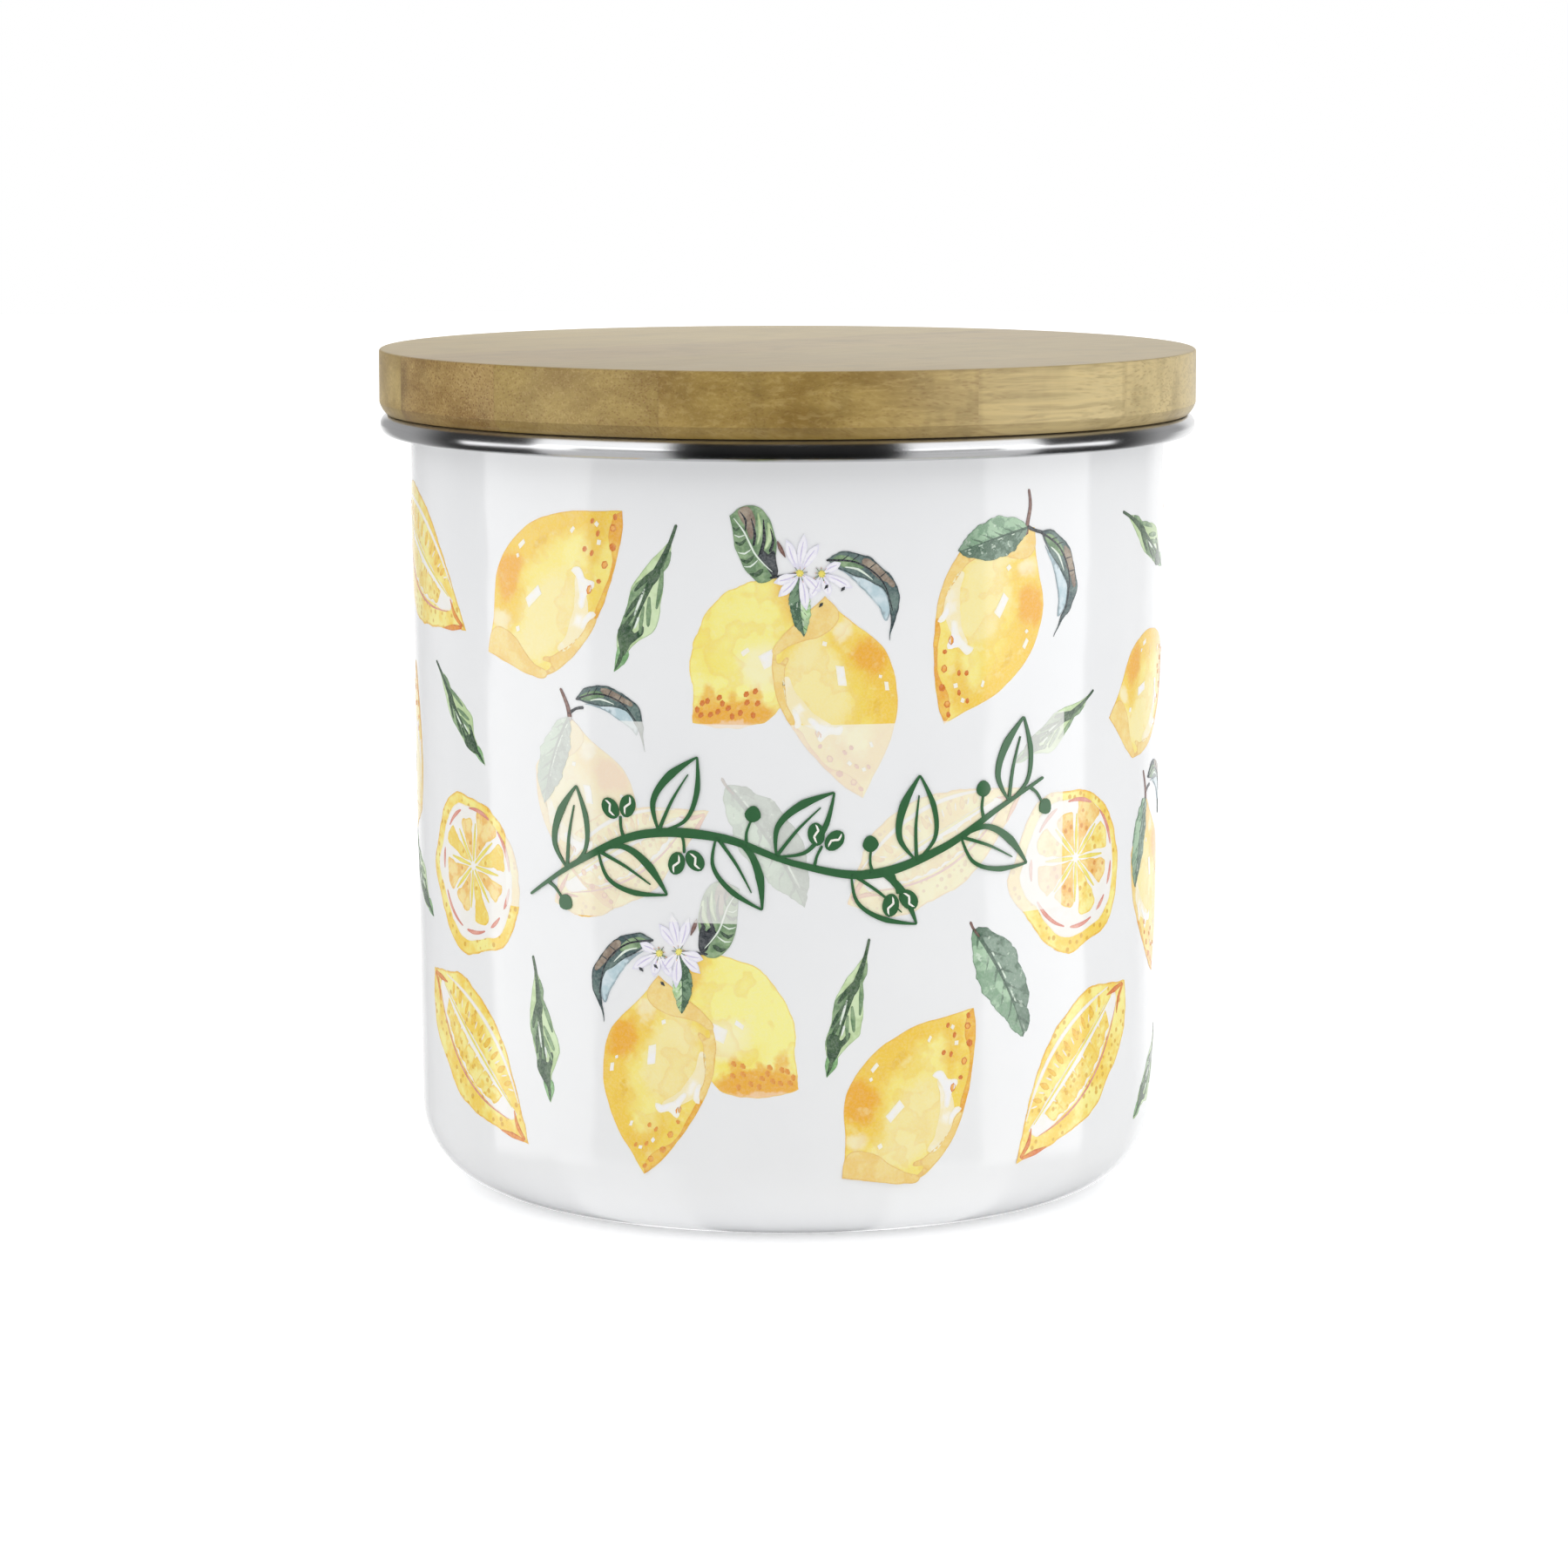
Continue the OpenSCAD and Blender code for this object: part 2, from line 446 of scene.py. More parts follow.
def bamboo(name, light, dark, seed, dots=1, streaks=0.2, blotch=0.3, rough=0.36):
    """Laminated bamboo. Fibre bundles run along the grain: lines on the top, fine dots on a cut end"""
    paint = Paint(name, IOR=1.5)
    turned = paint.node("VectorRotate", paint.place(), rotation_type="Z_AXIS")
    turned.inputs["Angle"].default_value = -GRAIN_ANGLE
    turned = turned.outputs[0]
    along, across, up = paint.split(paint.vector("ADD", turned, (0, 0, seed * 37)))
    lengthwise = paint.join(along, across, up)
    sway = paint.times(paint.add(paint.noise(paint.scaled(lengthwise, 0.05, 0.1, 0.3), 1, 2), -0.5), 3)
    lean = paint.times(sway, 0.5)
    slow = paint.join(paint.times(along, 0.02), paint.add(across, sway), paint.add(up, lean))

    # The planed top is calmer than the sides
    facing = paint.split(paint.node("NewGeometry").outputs["Normal"])[2]
    top = paint.math("ABSOLUTE", facing)
    calm = paint.step(top, 0.5, 0.9, 1, 0.3)

    # Pale inner wall to dark outer wall of the stem, across the strip
    band = paint.noise(paint.scaled(slow, 1, 0.09, 0.16), 1, 2, 0.5)
    band = paint.add(paint.times(paint.add(paint.step(band, 0.36, 0.66), -0.5), calm), 0.5)
    colour = paint.mix(band, linear(*light), linear(*dark))
    paler = paint.times(paint.step(paint.split(turned)[0], -36, 14, 0, 0.95), calm)
    colour = paint.over(colour, paler, (212, 192, 140))
    patch = paint.noise(paint.scaled(turned, 0.16, 0.16, 0.07), 1, 3, 0.6)
    colour = paint.over(colour, paint.step(patch, 0.46, 0.72, 0, blotch), [v * 0.62 for v in dark])

    # Long lines of fibre
    streak = paint.noise(paint.scaled(slow, 2.2, 0.8, 1.5), 1, 3, 0.55)
    dim = paint.times(paint.step(streak, 0.48, 0.68, 0, streaks), calm)
    colour = paint.over(colour, dim, [v * 0.72 for v in dark])
    bright = paint.times(paint.step(streak, 0.5, 0.34, 0, streaks), calm)
    colour = paint.over(colour, bright, (226, 202, 138))

    # Ends of the bundles
    bundles = paint.cells(paint.scaled(slow, 2, 1, 1), 2.7)
    spot = paint.times(paint.step(bundles["Distance"], 0.5, 0.15),
                       paint.step(paint.split(bundles["Color"])[0], -0.2, 0.6))
    colour = paint.over(colour, paint.times(spot, 0.5 * dots), (118, 76, 34))
    pale = paint.step(paint.noise(paint.scaled(slow, 2, 3.2, 3.2), 1, 1), 0.55, 0.7)
    colour = paint.over(colour, paint.times(pale, 0.2 * dots), (216, 186, 126))

    # Painted sheen: the top is tinted greyer
    colour = paint.over(colour, paint.step(top, 0.7, 0.95, 0, 0.35), (188, 178, 150))
    # Painted shade: surfaces that face down, as the rounding under the edge does, are darker
    colour = paint.over(colour, paint.step(facing, -0.12, -0.3, 0, 0.3), [v * 0.7 for v in dark])

    # Thin dark glue lines
    joint = 0.0
    for i in range(1, len(LID_STRIPS)):
        gap = paint.math("ABSOLUTE", paint.add(paint.split(turned)[1], -glue_line(i)))
        joint = paint.math("MAXIMUM", joint, paint.step(gap, 0.2, 0.05))
    colour = paint.over(colour, paint.times(joint, 0.16), (112, 82, 44))
    grain = paint.noise(paint.scaled(slow, 3, 4.5, 4.5), 1, 3, 0.7)
    height = paint.add(paint.times(grain, 0.6), paint.times(spot, -0.5))
    return paint.done(
        Base_Color=colour,
        Roughness=paint.add(paint.times(grain, 0.16), rough - 0.08),
        Normal=paint.bump(height, 0.02, 0.4),
    )


def silicone():
    """Milky silicone rubber, slightly dusty"""
    paint = Paint("silicone_milky", IOR=1.41, Subsurface_Weight=0.25,
                  Subsurface_Radius=(0.003, 0.003, 0.0026))
    place = paint.place()
    haze = paint.noise(place, 0.25, 3)
    dust = paint.step(paint.noise(place, 2.2, 4, 0.7), 0.5, 0.75)
    colour = paint.mix(haze, linear(222, 225, 224), linear(234, 236, 235))
    return paint.done(
        Base_Color=colour,
        Roughness=paint.add(paint.times(dust, 0.2), 0.36),
        Normal=paint.bump(paint.noise(place, 1.5, 2), 0.01, 0.4),
    )


# ---- print: outlines

PRINT_R = 52.7
CURVE_STEP = 0.45
GRID = 1.3
# Height of a row of equal triangles, as a share of their side
ROW_SHARE = 0.87
EDGE_ROW = 0.35
PAINT_T = 0.03
LEVEL_T = 0.012
SINK = 0.012
WOBBLE = 0.13
# Distance between the motifs' places in the noise that clouds their paint
STAMP_SPACING = 13.7


def curve(points, closed=True):
    """Smooth curve through given points, at an even step. A point given twice makes a corner"""
    knots = np.array(points, float)
    count = len(knots)
    spans = count if closed else count - 1
    track = []
    for i in range(spans):
        if closed:
            a, b, c, d = (knots[(i + k) % count] for k in (-1, 0, 1, 2))
        else:
            a, b, c, d = (knots[min(max(i + k, 0), count - 1)] for k in (-1, 0, 1, 2))
        length = np.linalg.norm(c - b)
        if length < 1e-6:
            continue
        # A corner has no tangent of its own, so the curve leaves it straight
        before = 0 if np.allclose(a, b) else (c - a) / max(np.linalg.norm(c - a), 1e-6) * length
        after = 0 if np.allclose(c, d) else (d - b) / max(np.linalg.norm(d - b), 1e-6) * length
        for t in np.arange(0, 1, CURVE_STEP / max(length, CURVE_STEP)):
            h = [2 * t**3 - 3 * t**2 + 1, t**3 - 2 * t**2 + t, 3 * t**2 - 2 * t**3, t**3 - t**2]
            track.append(h[0] * b + h[1] * before + h[2] * c + h[3] * after)
    if not closed:
        track.append(knots[-1])
    return np.array(track)


# Scale, seed spacing, strength and sideways offset of each layer of noise in a ragged outline
RAGGED_LAYERS = [(0.45, 7.3, 2, (31.7, 11.9, 5.3)), (1.3, 3.1, 0.8, (17.1, 9.2, 2.4))]


def ragged(outline, amount, seed):
    """Moves an outline's points a little, as a brush does"""
    brushed = []
    for x, y in outline:
        dx = dy = 0.0
        for scale, spacing, strength, offset in RAGGED_LAYERS:
            at = Vector((x * scale, y * scale, seed * spacing))
            dx += strength * noise.noise(at)
            dy += strength * noise.noise(at + Vector(offset))
        brushed.append((x + amount * dx, y + amount * dy))
    return np.array(brushed)


def edge_distance(points, outline):
    """Distance of each point from a closed outline"""
    start, end = outline, np.roll(outline, -1, axis=0)
    span = end - start
    length2 = np.maximum((span ** 2).sum(1), 1e-12)
    t = ((points[:, None] - start) * span).sum(2) / length2
    foot = start + np.clip(t, 0, 1)[..., None] * span
    return np.sqrt((((points[:, None] - foot) ** 2).sum(2)).min(1))


def contains(points, outline):
    """Whether each point is inside a closed outline"""
    x, y = points[:, :1], points[:, 1:]
    (ax, ay), (bx, by) = outline.T, np.roll(outline, -1, axis=0).T
    rise = np.where(np.abs(by - ay) < 1e-12, 1e-12, by - ay)
    crossed = ((ay > y) != (by > y)) & (x < (bx - ax) * (y - ay) / rise + ax)
    return crossed.sum(1) % 2 == 1


def filled(outline):
    """Triangles of an outline: its own points, a row just inside it, and a grid further in"""
    area = (outline[:, 0] * np.roll(outline[:, 1], -1) - np.roll(outline[:, 0], -1) * outline[:, 1]).sum()
    if area < 0:
        outline = outline[::-1]
    along = np.roll(outline, -1, axis=0) - np.roll(outline, 1, axis=0)
    along /= np.maximum(np.linalg.norm(along, axis=1, keepdims=True), 1e-9)
    row = (outline + np.column_stack((-along[:, 1], along[:, 0])) * EDGE_ROW)[::2]
    low, high = outline.min(0), outline.max(0)
    lines = np.arange(low[1], high[1], GRID * ROW_SHARE)
    grid = [(x + (GRID / 2 if i % 2 else 0), y)
            for i, y in enumerate(lines) for x in np.arange(low[0], high[0], GRID)]
    points = outline
    for extra, gap in ((row, EDGE_ROW * 0.8), (np.array(grid).reshape(-1, 2), EDGE_ROW + GRID * 0.35)):
        extra = extra[contains(extra, outline)]
        if len(extra):
            points = np.vstack([points, extra[edge_distance(extra, outline) > gap]])
    loop = list(range(len(outline)))
    made = geometry.delaunay_2d_cdt([Vector(p) for p in points], [], [loop], 1, 1e-5)
    flat = np.array([tuple(p) for p in made[0]])
    faces = []
    for a, b, c in made[2]:
        (ax, ay), (bx, by), (cx, cy) = flat[a], flat[b], flat[c]
        turn = (bx - ax) * (cy - ay) - (by - ay) * (cx - ax)
        faces.append((a, b, c) if turn > 0 else (a, c, b))
    return flat, faces, edge_distance(flat, outline)


def place(s=0, z=0, turn=0, size=1, flip=False):
    """Where a drawing goes: its origin, its turn in degrees, its size, and whether it is mirrored"""
    c, n = math.cos(math.radians(turn)), math.sin(math.radians(turn))
    across = -size if flip else size
    return np.array([[c * across, -n * size, s], [n * across, c * size, z], [0, 0, 1]])


def span(start, end, length):
    """Place of a drawing whose origin and far end, a length along its x axis, go to two points"""
    dx, dy = end[0] - start[0], end[1] - start[1]
    return place(*start, math.degrees(math.atan2(dy, dx)), math.hypot(dx, dy) / length)


def moved(points, at):
    return np.asarray(points) @ at[:2, :2].T + at[:2, 2]


def polar(radius, degrees):
    return radius * math.cos(math.radians(degrees)), radius * math.sin(math.radians(degrees))


class Motif:
    """One printed motif: each painted shape is a closed, paper-thin shell that follows the wall"""

    def __init__(self, name, at, seed):
        self.name, self.at, self.seed = name, at, seed
        self.verts, self.faces, self.paints, self.stamp, self.rim = [], [], [], [], []
        self.slots = []

    def shell(self, flat, faces, rim, stamp, paint, at, level):
        where = self.at @ at
        if np.linalg.det(where[:2, :2]) < 0:
            faces = [f[::-1] for f in faces]
        first, count = len(self.verts), len(flat)
        for lift in (PAINT_T + LEVEL_T * level, -SINK):
            for s, z in moved(flat, where):
                angle, r = s / PRINT_R, wall_r_at(z) + lift
                self.verts.append((r * MM * math.sin(angle), -r * MM * math.cos(angle), z * MM))
            self.stamp += [(x, y, self.seed * STAMP_SPACING) for x, y in stamp]
            self.rim += list(rim)
        if paint not in self.slots:
            self.slots.append(paint)
        edges = {(f[i], f[(i + 1) % len(f)]) for f in faces for i in range(len(f))}
        sides = [(b, a, a + count, b + count) for a, b in sorted(edges) if (b, a) not in edges]
        under = [tuple(v + count for v in f[::-1]) for f in faces]
        for face in faces + under + sides:
            self.faces.append(tuple(v + first for v in face))
            self.paints.append(self.slots.index(paint))

    def shape(self, points, paint, at=np.eye(3), level=0, wobble=WOBBLE, bend=0):
        """Fills a closed outline. bend curves the drawing's x axis, in degrees for each millimetre"""
        outline = curve(points)
        outline = ragged(outline, wobble, self.seed + level) if wobble else outline
        flat, faces, rim = filled(outline)
        stamp = flat
        if bend:
            k = math.radians(bend)
            x, y = flat[:, 0], flat[:, 1]
            flat = np.column_stack(((1 / k - y) * np.sin(x * k), 1 / k - (1 / k - y) * np.cos(x * k)))
        self.shell(flat, faces, rim, stamp, paint, at, level)

    def stroke(self, points, widths, paint, at=np.eye(3), level=1):
        """A brush stroke along points. widths are spread evenly over it, and its ends are round"""
        line = curve(points, False)
        along = np.gradient(line, axis=0)
        along /= np.maximum(np.linalg.norm(along, axis=1, keepdims=True), 1e-9)
        side = np.column_stack((-along[:, 1], along[:, 0]))
        run = np.concatenate(([0], np.cumsum(np.linalg.norm(np.diff(line, axis=0), axis=1))))
        width = np.interp(run / run[-1], np.linspace(0, 1, len(widths)), widths) / 2
        cap = np.clip(np.minimum(run, run[-1] - run) / np.maximum(width, 1e-3), 0, 1)
        width = np.maximum(width * np.sqrt(cap * (2 - cap)), 0.02)
        rows = [line + side * width[:, None], line, line - side * width[:, None]]
        flat = np.vstack(rows)
        n = len(line)
        faces = []
        for i in range(n - 1):
            faces += [(i, i + n, i + n + 1, i + 1), (i + n, i + 2 * n, i + 2 * n + 1, i + n + 1)]
        rim = np.concatenate((np.zeros(n), width, np.zeros(n)))
        stamp = np.vstack([np.column_stack((run, offset * width)) for offset in (1, 0, -1)])
        self.shell(flat, faces, rim, stamp, paint, at, level)

    def made(self):
        mesh = bpy.data.meshes.new(self.name)
        mesh.from_pydata(self.verts, [], self.faces)
        mesh.attributes.new("stamp", "FLOAT_VECTOR", "POINT").data.foreach_set("vector", np.ravel(self.stamp))
        mesh.attributes.new("rim", "FLOAT", "POINT").data.foreach_set("value", np.ravel(self.rim))
        for paint in self.slots:
            mesh.materials.append(PAINTS[paint])
        mesh.polygons.foreach_set("material_index", self.paints)
        finish_mesh(mesh, math.radians(40))
        piece = new_object(self.name, mesh)
        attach(piece, "canister")
        return piece


# ---- print: paints

# The label panel is a pale veil over the print
PANEL_S = (-43, 41.4)
PANEL_Z = (44.4, 71.2)
PANEL_VEIL = 0.62
VEIL_WHITE = (252, 252, 248)


class Print(Paint):
    """Watercolour fired into the glaze. stamp holds a drawing's own coordinates in millimetres"""

    def __init__(self, name):
        super().__init__(name, Roughness=GLAZE_ROUGHNESS, IOR=1.5)
        self.stamp = self.attribute("stamp").outputs["Vector"]
        self.rim = self.attribute("rim").outputs["Fac"]
        self.flat = self.scaled(self.stamp, 1, 1, 0)
        drift = self.vector("SUBTRACT", self.noise(self.stamp, 0.3, 3, 0.6, colour=True), (0.5, 0.5, 0.5))
        self.wet = self.vector("ADD", self.flat, self.scaled(drift, 3.4, 3.4, 0))

    def cloud(self, scale, low, high, most=1):
        return self.step(self.noise(self.stamp, scale, 3, 0.6), low, high, 0, most)

    def spot(self, x, y, half_length, half_width, turn, soft, most):
        """Mask of an oval in the drawing's coordinates, with a wandering edge"""
        oval = self.node("Mapping", self.wet, (x, y, 0), (0, 0, math.radians(turn)),
                         (half_length, half_width, 1), vector_type="TEXTURE").outputs[0]
        return self.step(self.vector("LENGTH", oval), 1 + soft, 1 - soft, 0, most)

    def tide(self, colour):
        """Soft brush marks, whose edge is a little darker on one side"""
        level = self.noise(self.stamp, 0.2, 2, 0.5)
        edge = self.times(self.step(level, 0.5, 0.53), self.step(level, 0.64, 0.52, 0, 0.2))
        return self.over(colour, edge, (242, 190, 84))

    def line(self, colour, tint, width=0.32, most=0.8):
        """The darker rim that wet paint leaves along its edge, here and there fainter"""
        worn = self.step(self.noise(self.stamp, 0.5, 2), 0.3, 0.55, 0.35, 1)
        edge = self.step(self.rim, width, width * 0.3)
        return self.over(colour, self.times(self.times(edge, worn), most), tint)

    def fired(self, colour):
        """Adds paper grain and the label's veil, and ends the material"""
        grain = self.noise(self.stamp, 2.6, 3, 0.7)
        colour = self.mix(self.step(grain, 0.35, 0.7, 0, 0.1), colour, (1, 1, 1, 1))
        x, y, z = self.split(self.place())
        s = self.times(self.math("ARCTAN2", x, self.times(y, -1)), PRINT_R)
        veil = PANEL_VEIL
        for value, low, high in ((s, *PANEL_S), (z, *PANEL_Z)):
            veil = self.times(self.times(self.step(value, low - 0.06, low + 0.06), veil),
                              self.step(value, high + 0.06, high - 0.06))
        colour = self.over(colour, veil, VEIL_WHITE)
        return self.done(Base_Color=colour)


def lemon_paint(name, light, deep, spots, rim_tint):
    """Washes laid over one another. spots are (oval, tint)"""
    paint = Print(name)
    colour = paint.mix(paint.cloud(0.1, 0.38, 0.62), linear(*light), linear(*deep))
    for oval, tint in spots:
        colour = paint.over(colour, paint.spot(*oval), tint)
    colour = paint.tide(colour)
    colour = paint.over(colour, paint.cloud(0.45, 0.58, 0.72, 0.3), (255, 248, 196))
    return paint.fired(paint.line(colour, rim_tint, 0.22, 0.6))


# Distance between the side veins of a leaf
VEIN_PITCH = 3.3
GREEN_VEIN = (64, 92, 72)
GLEAM = (226, 240, 224)


def leaf_paint(name, near, far, vein):
    """A leaf along x. near and far are its two halves, parted by the midrib"""
    paint = Print(name)
    y = paint.split(paint.wet)[1]
    along, across = paint.split(paint.flat)[:2]
    half = paint.step(paint.add(across, paint.times(paint.add(y, paint.times(across, -1)), 0.3)), -0.25, 0.25)
    tone = paint.cloud(0.3, 0.44, 0.54)
    upper = paint.mix(tone, linear(*near[0]), linear(*near[1]))
    lower = paint.mix(tone, linear(*far[0]), linear(*far[1]))
    colour = paint.mix(half, upper, lower)
    out = paint.math("ABSOLUTE", across)
    sway = paint.times(paint.add(paint.noise(paint.stamp, 0.5, 2), -0.5), 1.8)
    slanted = paint.add(paint.add(along, sway), paint.times(out, -1.25))
    ladder = paint.math("FRACT", paint.times(slanted, 1 / VEIN_PITCH))
    bar = paint.math("ABSOLUTE", paint.add(ladder, -0.5))
    thin = paint.step(out, 2.9, 0.2, 0, 0.13)
    lines = paint.step(paint.add(bar, paint.times(thin, -1)), 0.015, -0.015)
    broken = paint.cloud(0.42, 0.36, 0.5)
    colour = paint.over(colour, paint.times(paint.times(lines, broken), 0.7), vein)
    wide = paint.step(along, 22, 0, 0.05, 0.34)
    midrib = paint.step(paint.add(out, paint.times(wide, -1)), 0.08, -0.04)
    colour = paint.over(colour, paint.times(midrib, 0.9), vein)
    beside = paint.math("ABSOLUTE", paint.add(across, -0.5))
    slit = paint.times(paint.step(beside, 0.2, 0.1), paint.cloud(0.35, 0.5, 0.56))
    colour = paint.over(colour, paint.times(slit, 0.9), GLEAM)
    flecks = paint.times(paint.cloud(0.55, 0.63, 0.66), paint.step(out, 0.5, 1))
    colour = paint.over(colour, paint.times(flecks, 0.55), GLEAM)
    darker = paint.step(along, 13, 19, 0, 0.45)
    colour = paint.over(colour, paint.times(darker, paint.cloud(0.3, 0.4, 0.55)), vein)
    return paint.fired(paint.line(colour, vein, 0.22, 0.45))


def wash_paint(name, light, deep, rim_tint, scale=0.35, line=0.28, most=0.7, dots=None):
    """A simple wash between two tints, with a drying rim and sometimes dots"""
    paint = Print(name)
    colour = paint.mix(paint.cloud(scale, 0.38, 0.62), linear(*light), linear(*deep))
    if dots:
        cell = paint.cells(paint.stamp, 0.9)
        dot = paint.step(cell["Distance"], 0.38, 0.24)
        some = paint.step(paint.split(cell["Color"])[0], 0.35, 0.45)
        colour = paint.over(colour, paint.times(paint.times(dot, some), 0.75), dots)
    return paint.fired(paint.line(colour, rim_tint, line, most))


def ink_paint(name, tint, pale):
    """Flat green ink over the veil, a little lighter where the pen was dry"""
    paint = Print(name)
    dry = paint.step(paint.noise(paint.place(), 0.35, 3, 0.6), 0.55, 0.8, 0, 0.25)
    return paint.done(Base_Color=paint.mix(dry, linear(*tint), linear(*pale)))


AMBER = (249, 208, 80)
ORANGE = (245, 180, 60)
CREAM = (255, 249, 216)
LEMON_SPOTS = [
    ((-4.2, 5.4, 6.5, 2.6, 38, 0.5, 0.85), AMBER),
    ((3, 9.6, 4.6, 1.5, 15, 0.5, 0.85), AMBER),
    ((-6.6, -1.2, 3, 5, 0, 0.4, 0.75), AMBER),
    ((-7.1, 0.2, 2.2, 3, 0, 0.35, 0.95), ORANGE),
    ((6, 7.6, 1.6, 3.8, -10, 0.4, 0.8), (246, 204, 84)),
    ((-1.8, 5.6, 1.4, 0.5, 50, 0.3, 0.6), (240, 196, 70)),
    ((3.5, 5.5, 1.6, 2.4, -20, 0.5, 0.6), (255, 246, 160)),
    ((0.6, -3, 6.2, 4, 62, 0.3, 0.75), (254, 241, 178)),
    ((-2, -7.4, 3.6, 1.8, 8, 0.4, 0.6), (254, 241, 178)),
    ((-7.6, -5.4, 1.6, 1.2, 0, 0.5, 0.7), CREAM),
]
BRIGHT_SPOTS = [
    ((1, 3, 5, 5, 0, 0.6, 0.7), (255, 248, 156)),
    ((6.5, 8.5, 2.2, 3.6, 20, 0.5, 0.8), (248, 202, 100)),
    ((-1.5, -7.6, 6.4, 2, 4, 0.25, 0.95), (243, 178, 66)),
    ((-4.5, -5.4, 1, 1.8, 10, 0.4, 0.8), (245, 190, 78)),
    ((-1.4, -5.8, 0.8, 1.6, 0, 0.4, 0.8), (245, 190, 78)),
    ((1.6, -5, 0.9, 1.8, -10, 0.4, 0.8), (245, 190, 78)),
    ((2.8, -1, 3.4, 2.6, 0, 0.4, 0.6), CREAM),
    ((-1.5, -9.2, 5, 0.6, 4, 0.3, 0.8), (250, 214, 176)),
]
# Light tint, deep tint and rim tint, then the scale of the cloud, width and strength of the rim, and dots
WASHES = {
    "white_wash": ((255, 252, 244), (253, 247, 226), (252, 238, 186), 0.3, 0.9, 0.9),
    "peel": ((247, 204, 92), (242, 180, 72), (232, 162, 66), 0.25, 0.2, 0.6),
    "lobe": ((250, 226, 150), (247, 212, 128), (236, 190, 112), 0.3, 0.18, 0.7),
    "pore": ((247, 190, 100), (243, 172, 80), (218, 122, 48), 0.8, 0.17, 0.95),
    "window": ((250, 249, 250), (252, 250, 240), (252, 240, 200), 0.35, 0.28, 0.3),
    "leaf_pale": ((190, 214, 160), (216, 236, 192), (136, 168, 118), 0.35, 0.16, 0.6),
    "leaf_mid": ((108, 140, 102), (150, 178, 136), (88, 118, 88), 0.5, 0.12, 0.4),
    "leaf_deep": ((56, 84, 60), (90, 116, 86), (46, 70, 52), 0.5, 0.12, 0.4),
    "leaf_tip": ((120, 168, 112), (156, 200, 144), (96, 140, 92), 0.6, 0.14, 0.5),
    "gleam": ((226, 240, 224), (240, 246, 240), (206, 224, 204), 0.5, 0.1, 0.3),
    "leaf_blue": ((70, 92, 94), (112, 134, 128), (40, 52, 56), 0.3),
    "underside": ((188, 212, 220), (218, 232, 238), (120, 140, 148), 0.4),
    "brown": ((134, 100, 92), (160, 124, 108), (92, 62, 60), 0.5),
    "dark": ((48, 54, 60), (84, 88, 92), (30, 34, 40), 0.6),
    "petal": ((251, 250, 254), (243, 241, 252), (216, 214, 236), 0.5, 0.16, 0.5),
    "anther": ((246, 180, 84), (236, 152, 62), (204, 120, 54), 0.8),
    "rind": ((254, 244, 152), (250, 216, 94), (240, 184, 68), 0.24, 0.35, 0.8, (220, 166, 50)),
    "pith": ((250, 248, 246), (248, 246, 240), (244, 226, 196), 0.3, 0.25, 0.5),
    "pulp": ((253, 230, 158), (246, 196, 112), (244, 206, 98), 0.42, 0.3, 0.7, (222, 142, 54)),
    "pulp_pale": ((254, 242, 156), (248, 216, 100), (244, 202, 80), 0.45, 0.25, 0.6, (226, 172, 48)),
    "gold": ((246, 206, 84), (240, 184, 64), (232, 170, 56), 0.5, 0.2, 0.5),
    "pink": ((236, 176, 158), (226, 148, 132), (214, 132, 116), 0.5, 0.2, 0.5),
    "leaf_dry": ((138, 122, 108), (172, 158, 140), (110, 92, 82), 0.5, 0.14, 0.4),
    "lilac": ((214, 206, 236), (228, 222, 244), (206, 198, 230), 0.5, 0.1, 0.2),
    "lime": ((246, 236, 130), (242, 226, 104), (236, 214, 90), 0.5, 0.2, 0.5),
    "orange": ((236, 160, 74), (224, 128, 62), (208, 104, 56), 0.5, 0.25, 0.6),
}
PAINTS = {name: wash_paint("print_" + name, *look) for name, look in WASHES.items()}
PAINTS["lemon"] = lemon_paint("print_lemon", (254, 237, 134), (250, 221, 98), LEMON_SPOTS, (241, 186, 90))
PAINTS["lemon_bright"] = lemon_paint("print_lemon_bright", (255, 249, 158),
                                     (253, 236, 116), BRIGHT_SPOTS, (246, 204, 104))
PAINTS["leaf"] = leaf_paint("print_leaf", ((66, 100, 74), (118, 150, 118)),
                            ((164, 202, 142), (204, 232, 184)), GREEN_VEIN)
PAINTS["leaf_dusky"] = leaf_paint("print_leaf_dusky", ((134, 168, 138), (172, 204, 172)),
                                  ((92, 120, 100), (136, 160, 142)), (66, 94, 76))
PAINTS["ink"] = ink_paint("print_ink", (60, 106, 69), (92, 132, 98))


# ---- print: motifs

LEAF_L = 22.0
LEAF_WOBBLE = 0.28
LEAF_LEAD = 0.9
LEAF_TEETH = 0.045
LEAF_POINTS = 15


def leaf_outline(half_width, fullness):
    """Outline of a leaf along x, from its stem to its tip"""
    steps = [i / LEAF_POINTS for i in range(LEAF_POINTS + 1)]

    def half(t, shift):
        body = math.sin(math.pi * t ** LEAF_LEAD) ** fullness if 0 < t < 1 else 0
        teeth = math.sin(19 * t + shift) + 0.6 * math.sin(41 * t + 2 * shift)
        return half_width * body * (1 + LEAF_TEETH * teeth)

    right = [(LEAF_L * t, -half(t, 0)) for t in steps]
    left = [(LEAF_L * t, half(t, 2)) for t in reversed(steps)]
    return right + left


def draw_leaf(motif, at, paint="leaf", half_width=3.1, bend=0, level=0, fullness=0.85, stem=0):
    if stem:
        motif.stroke([(-stem, 0.3), (0, 0), (2, 0)], [0.5, 0.42, 0.3], "brown", at, level)
    motif.shape(leaf_outline(half_width, fullness), paint, at, level, LEAF_WOBBLE, bend)


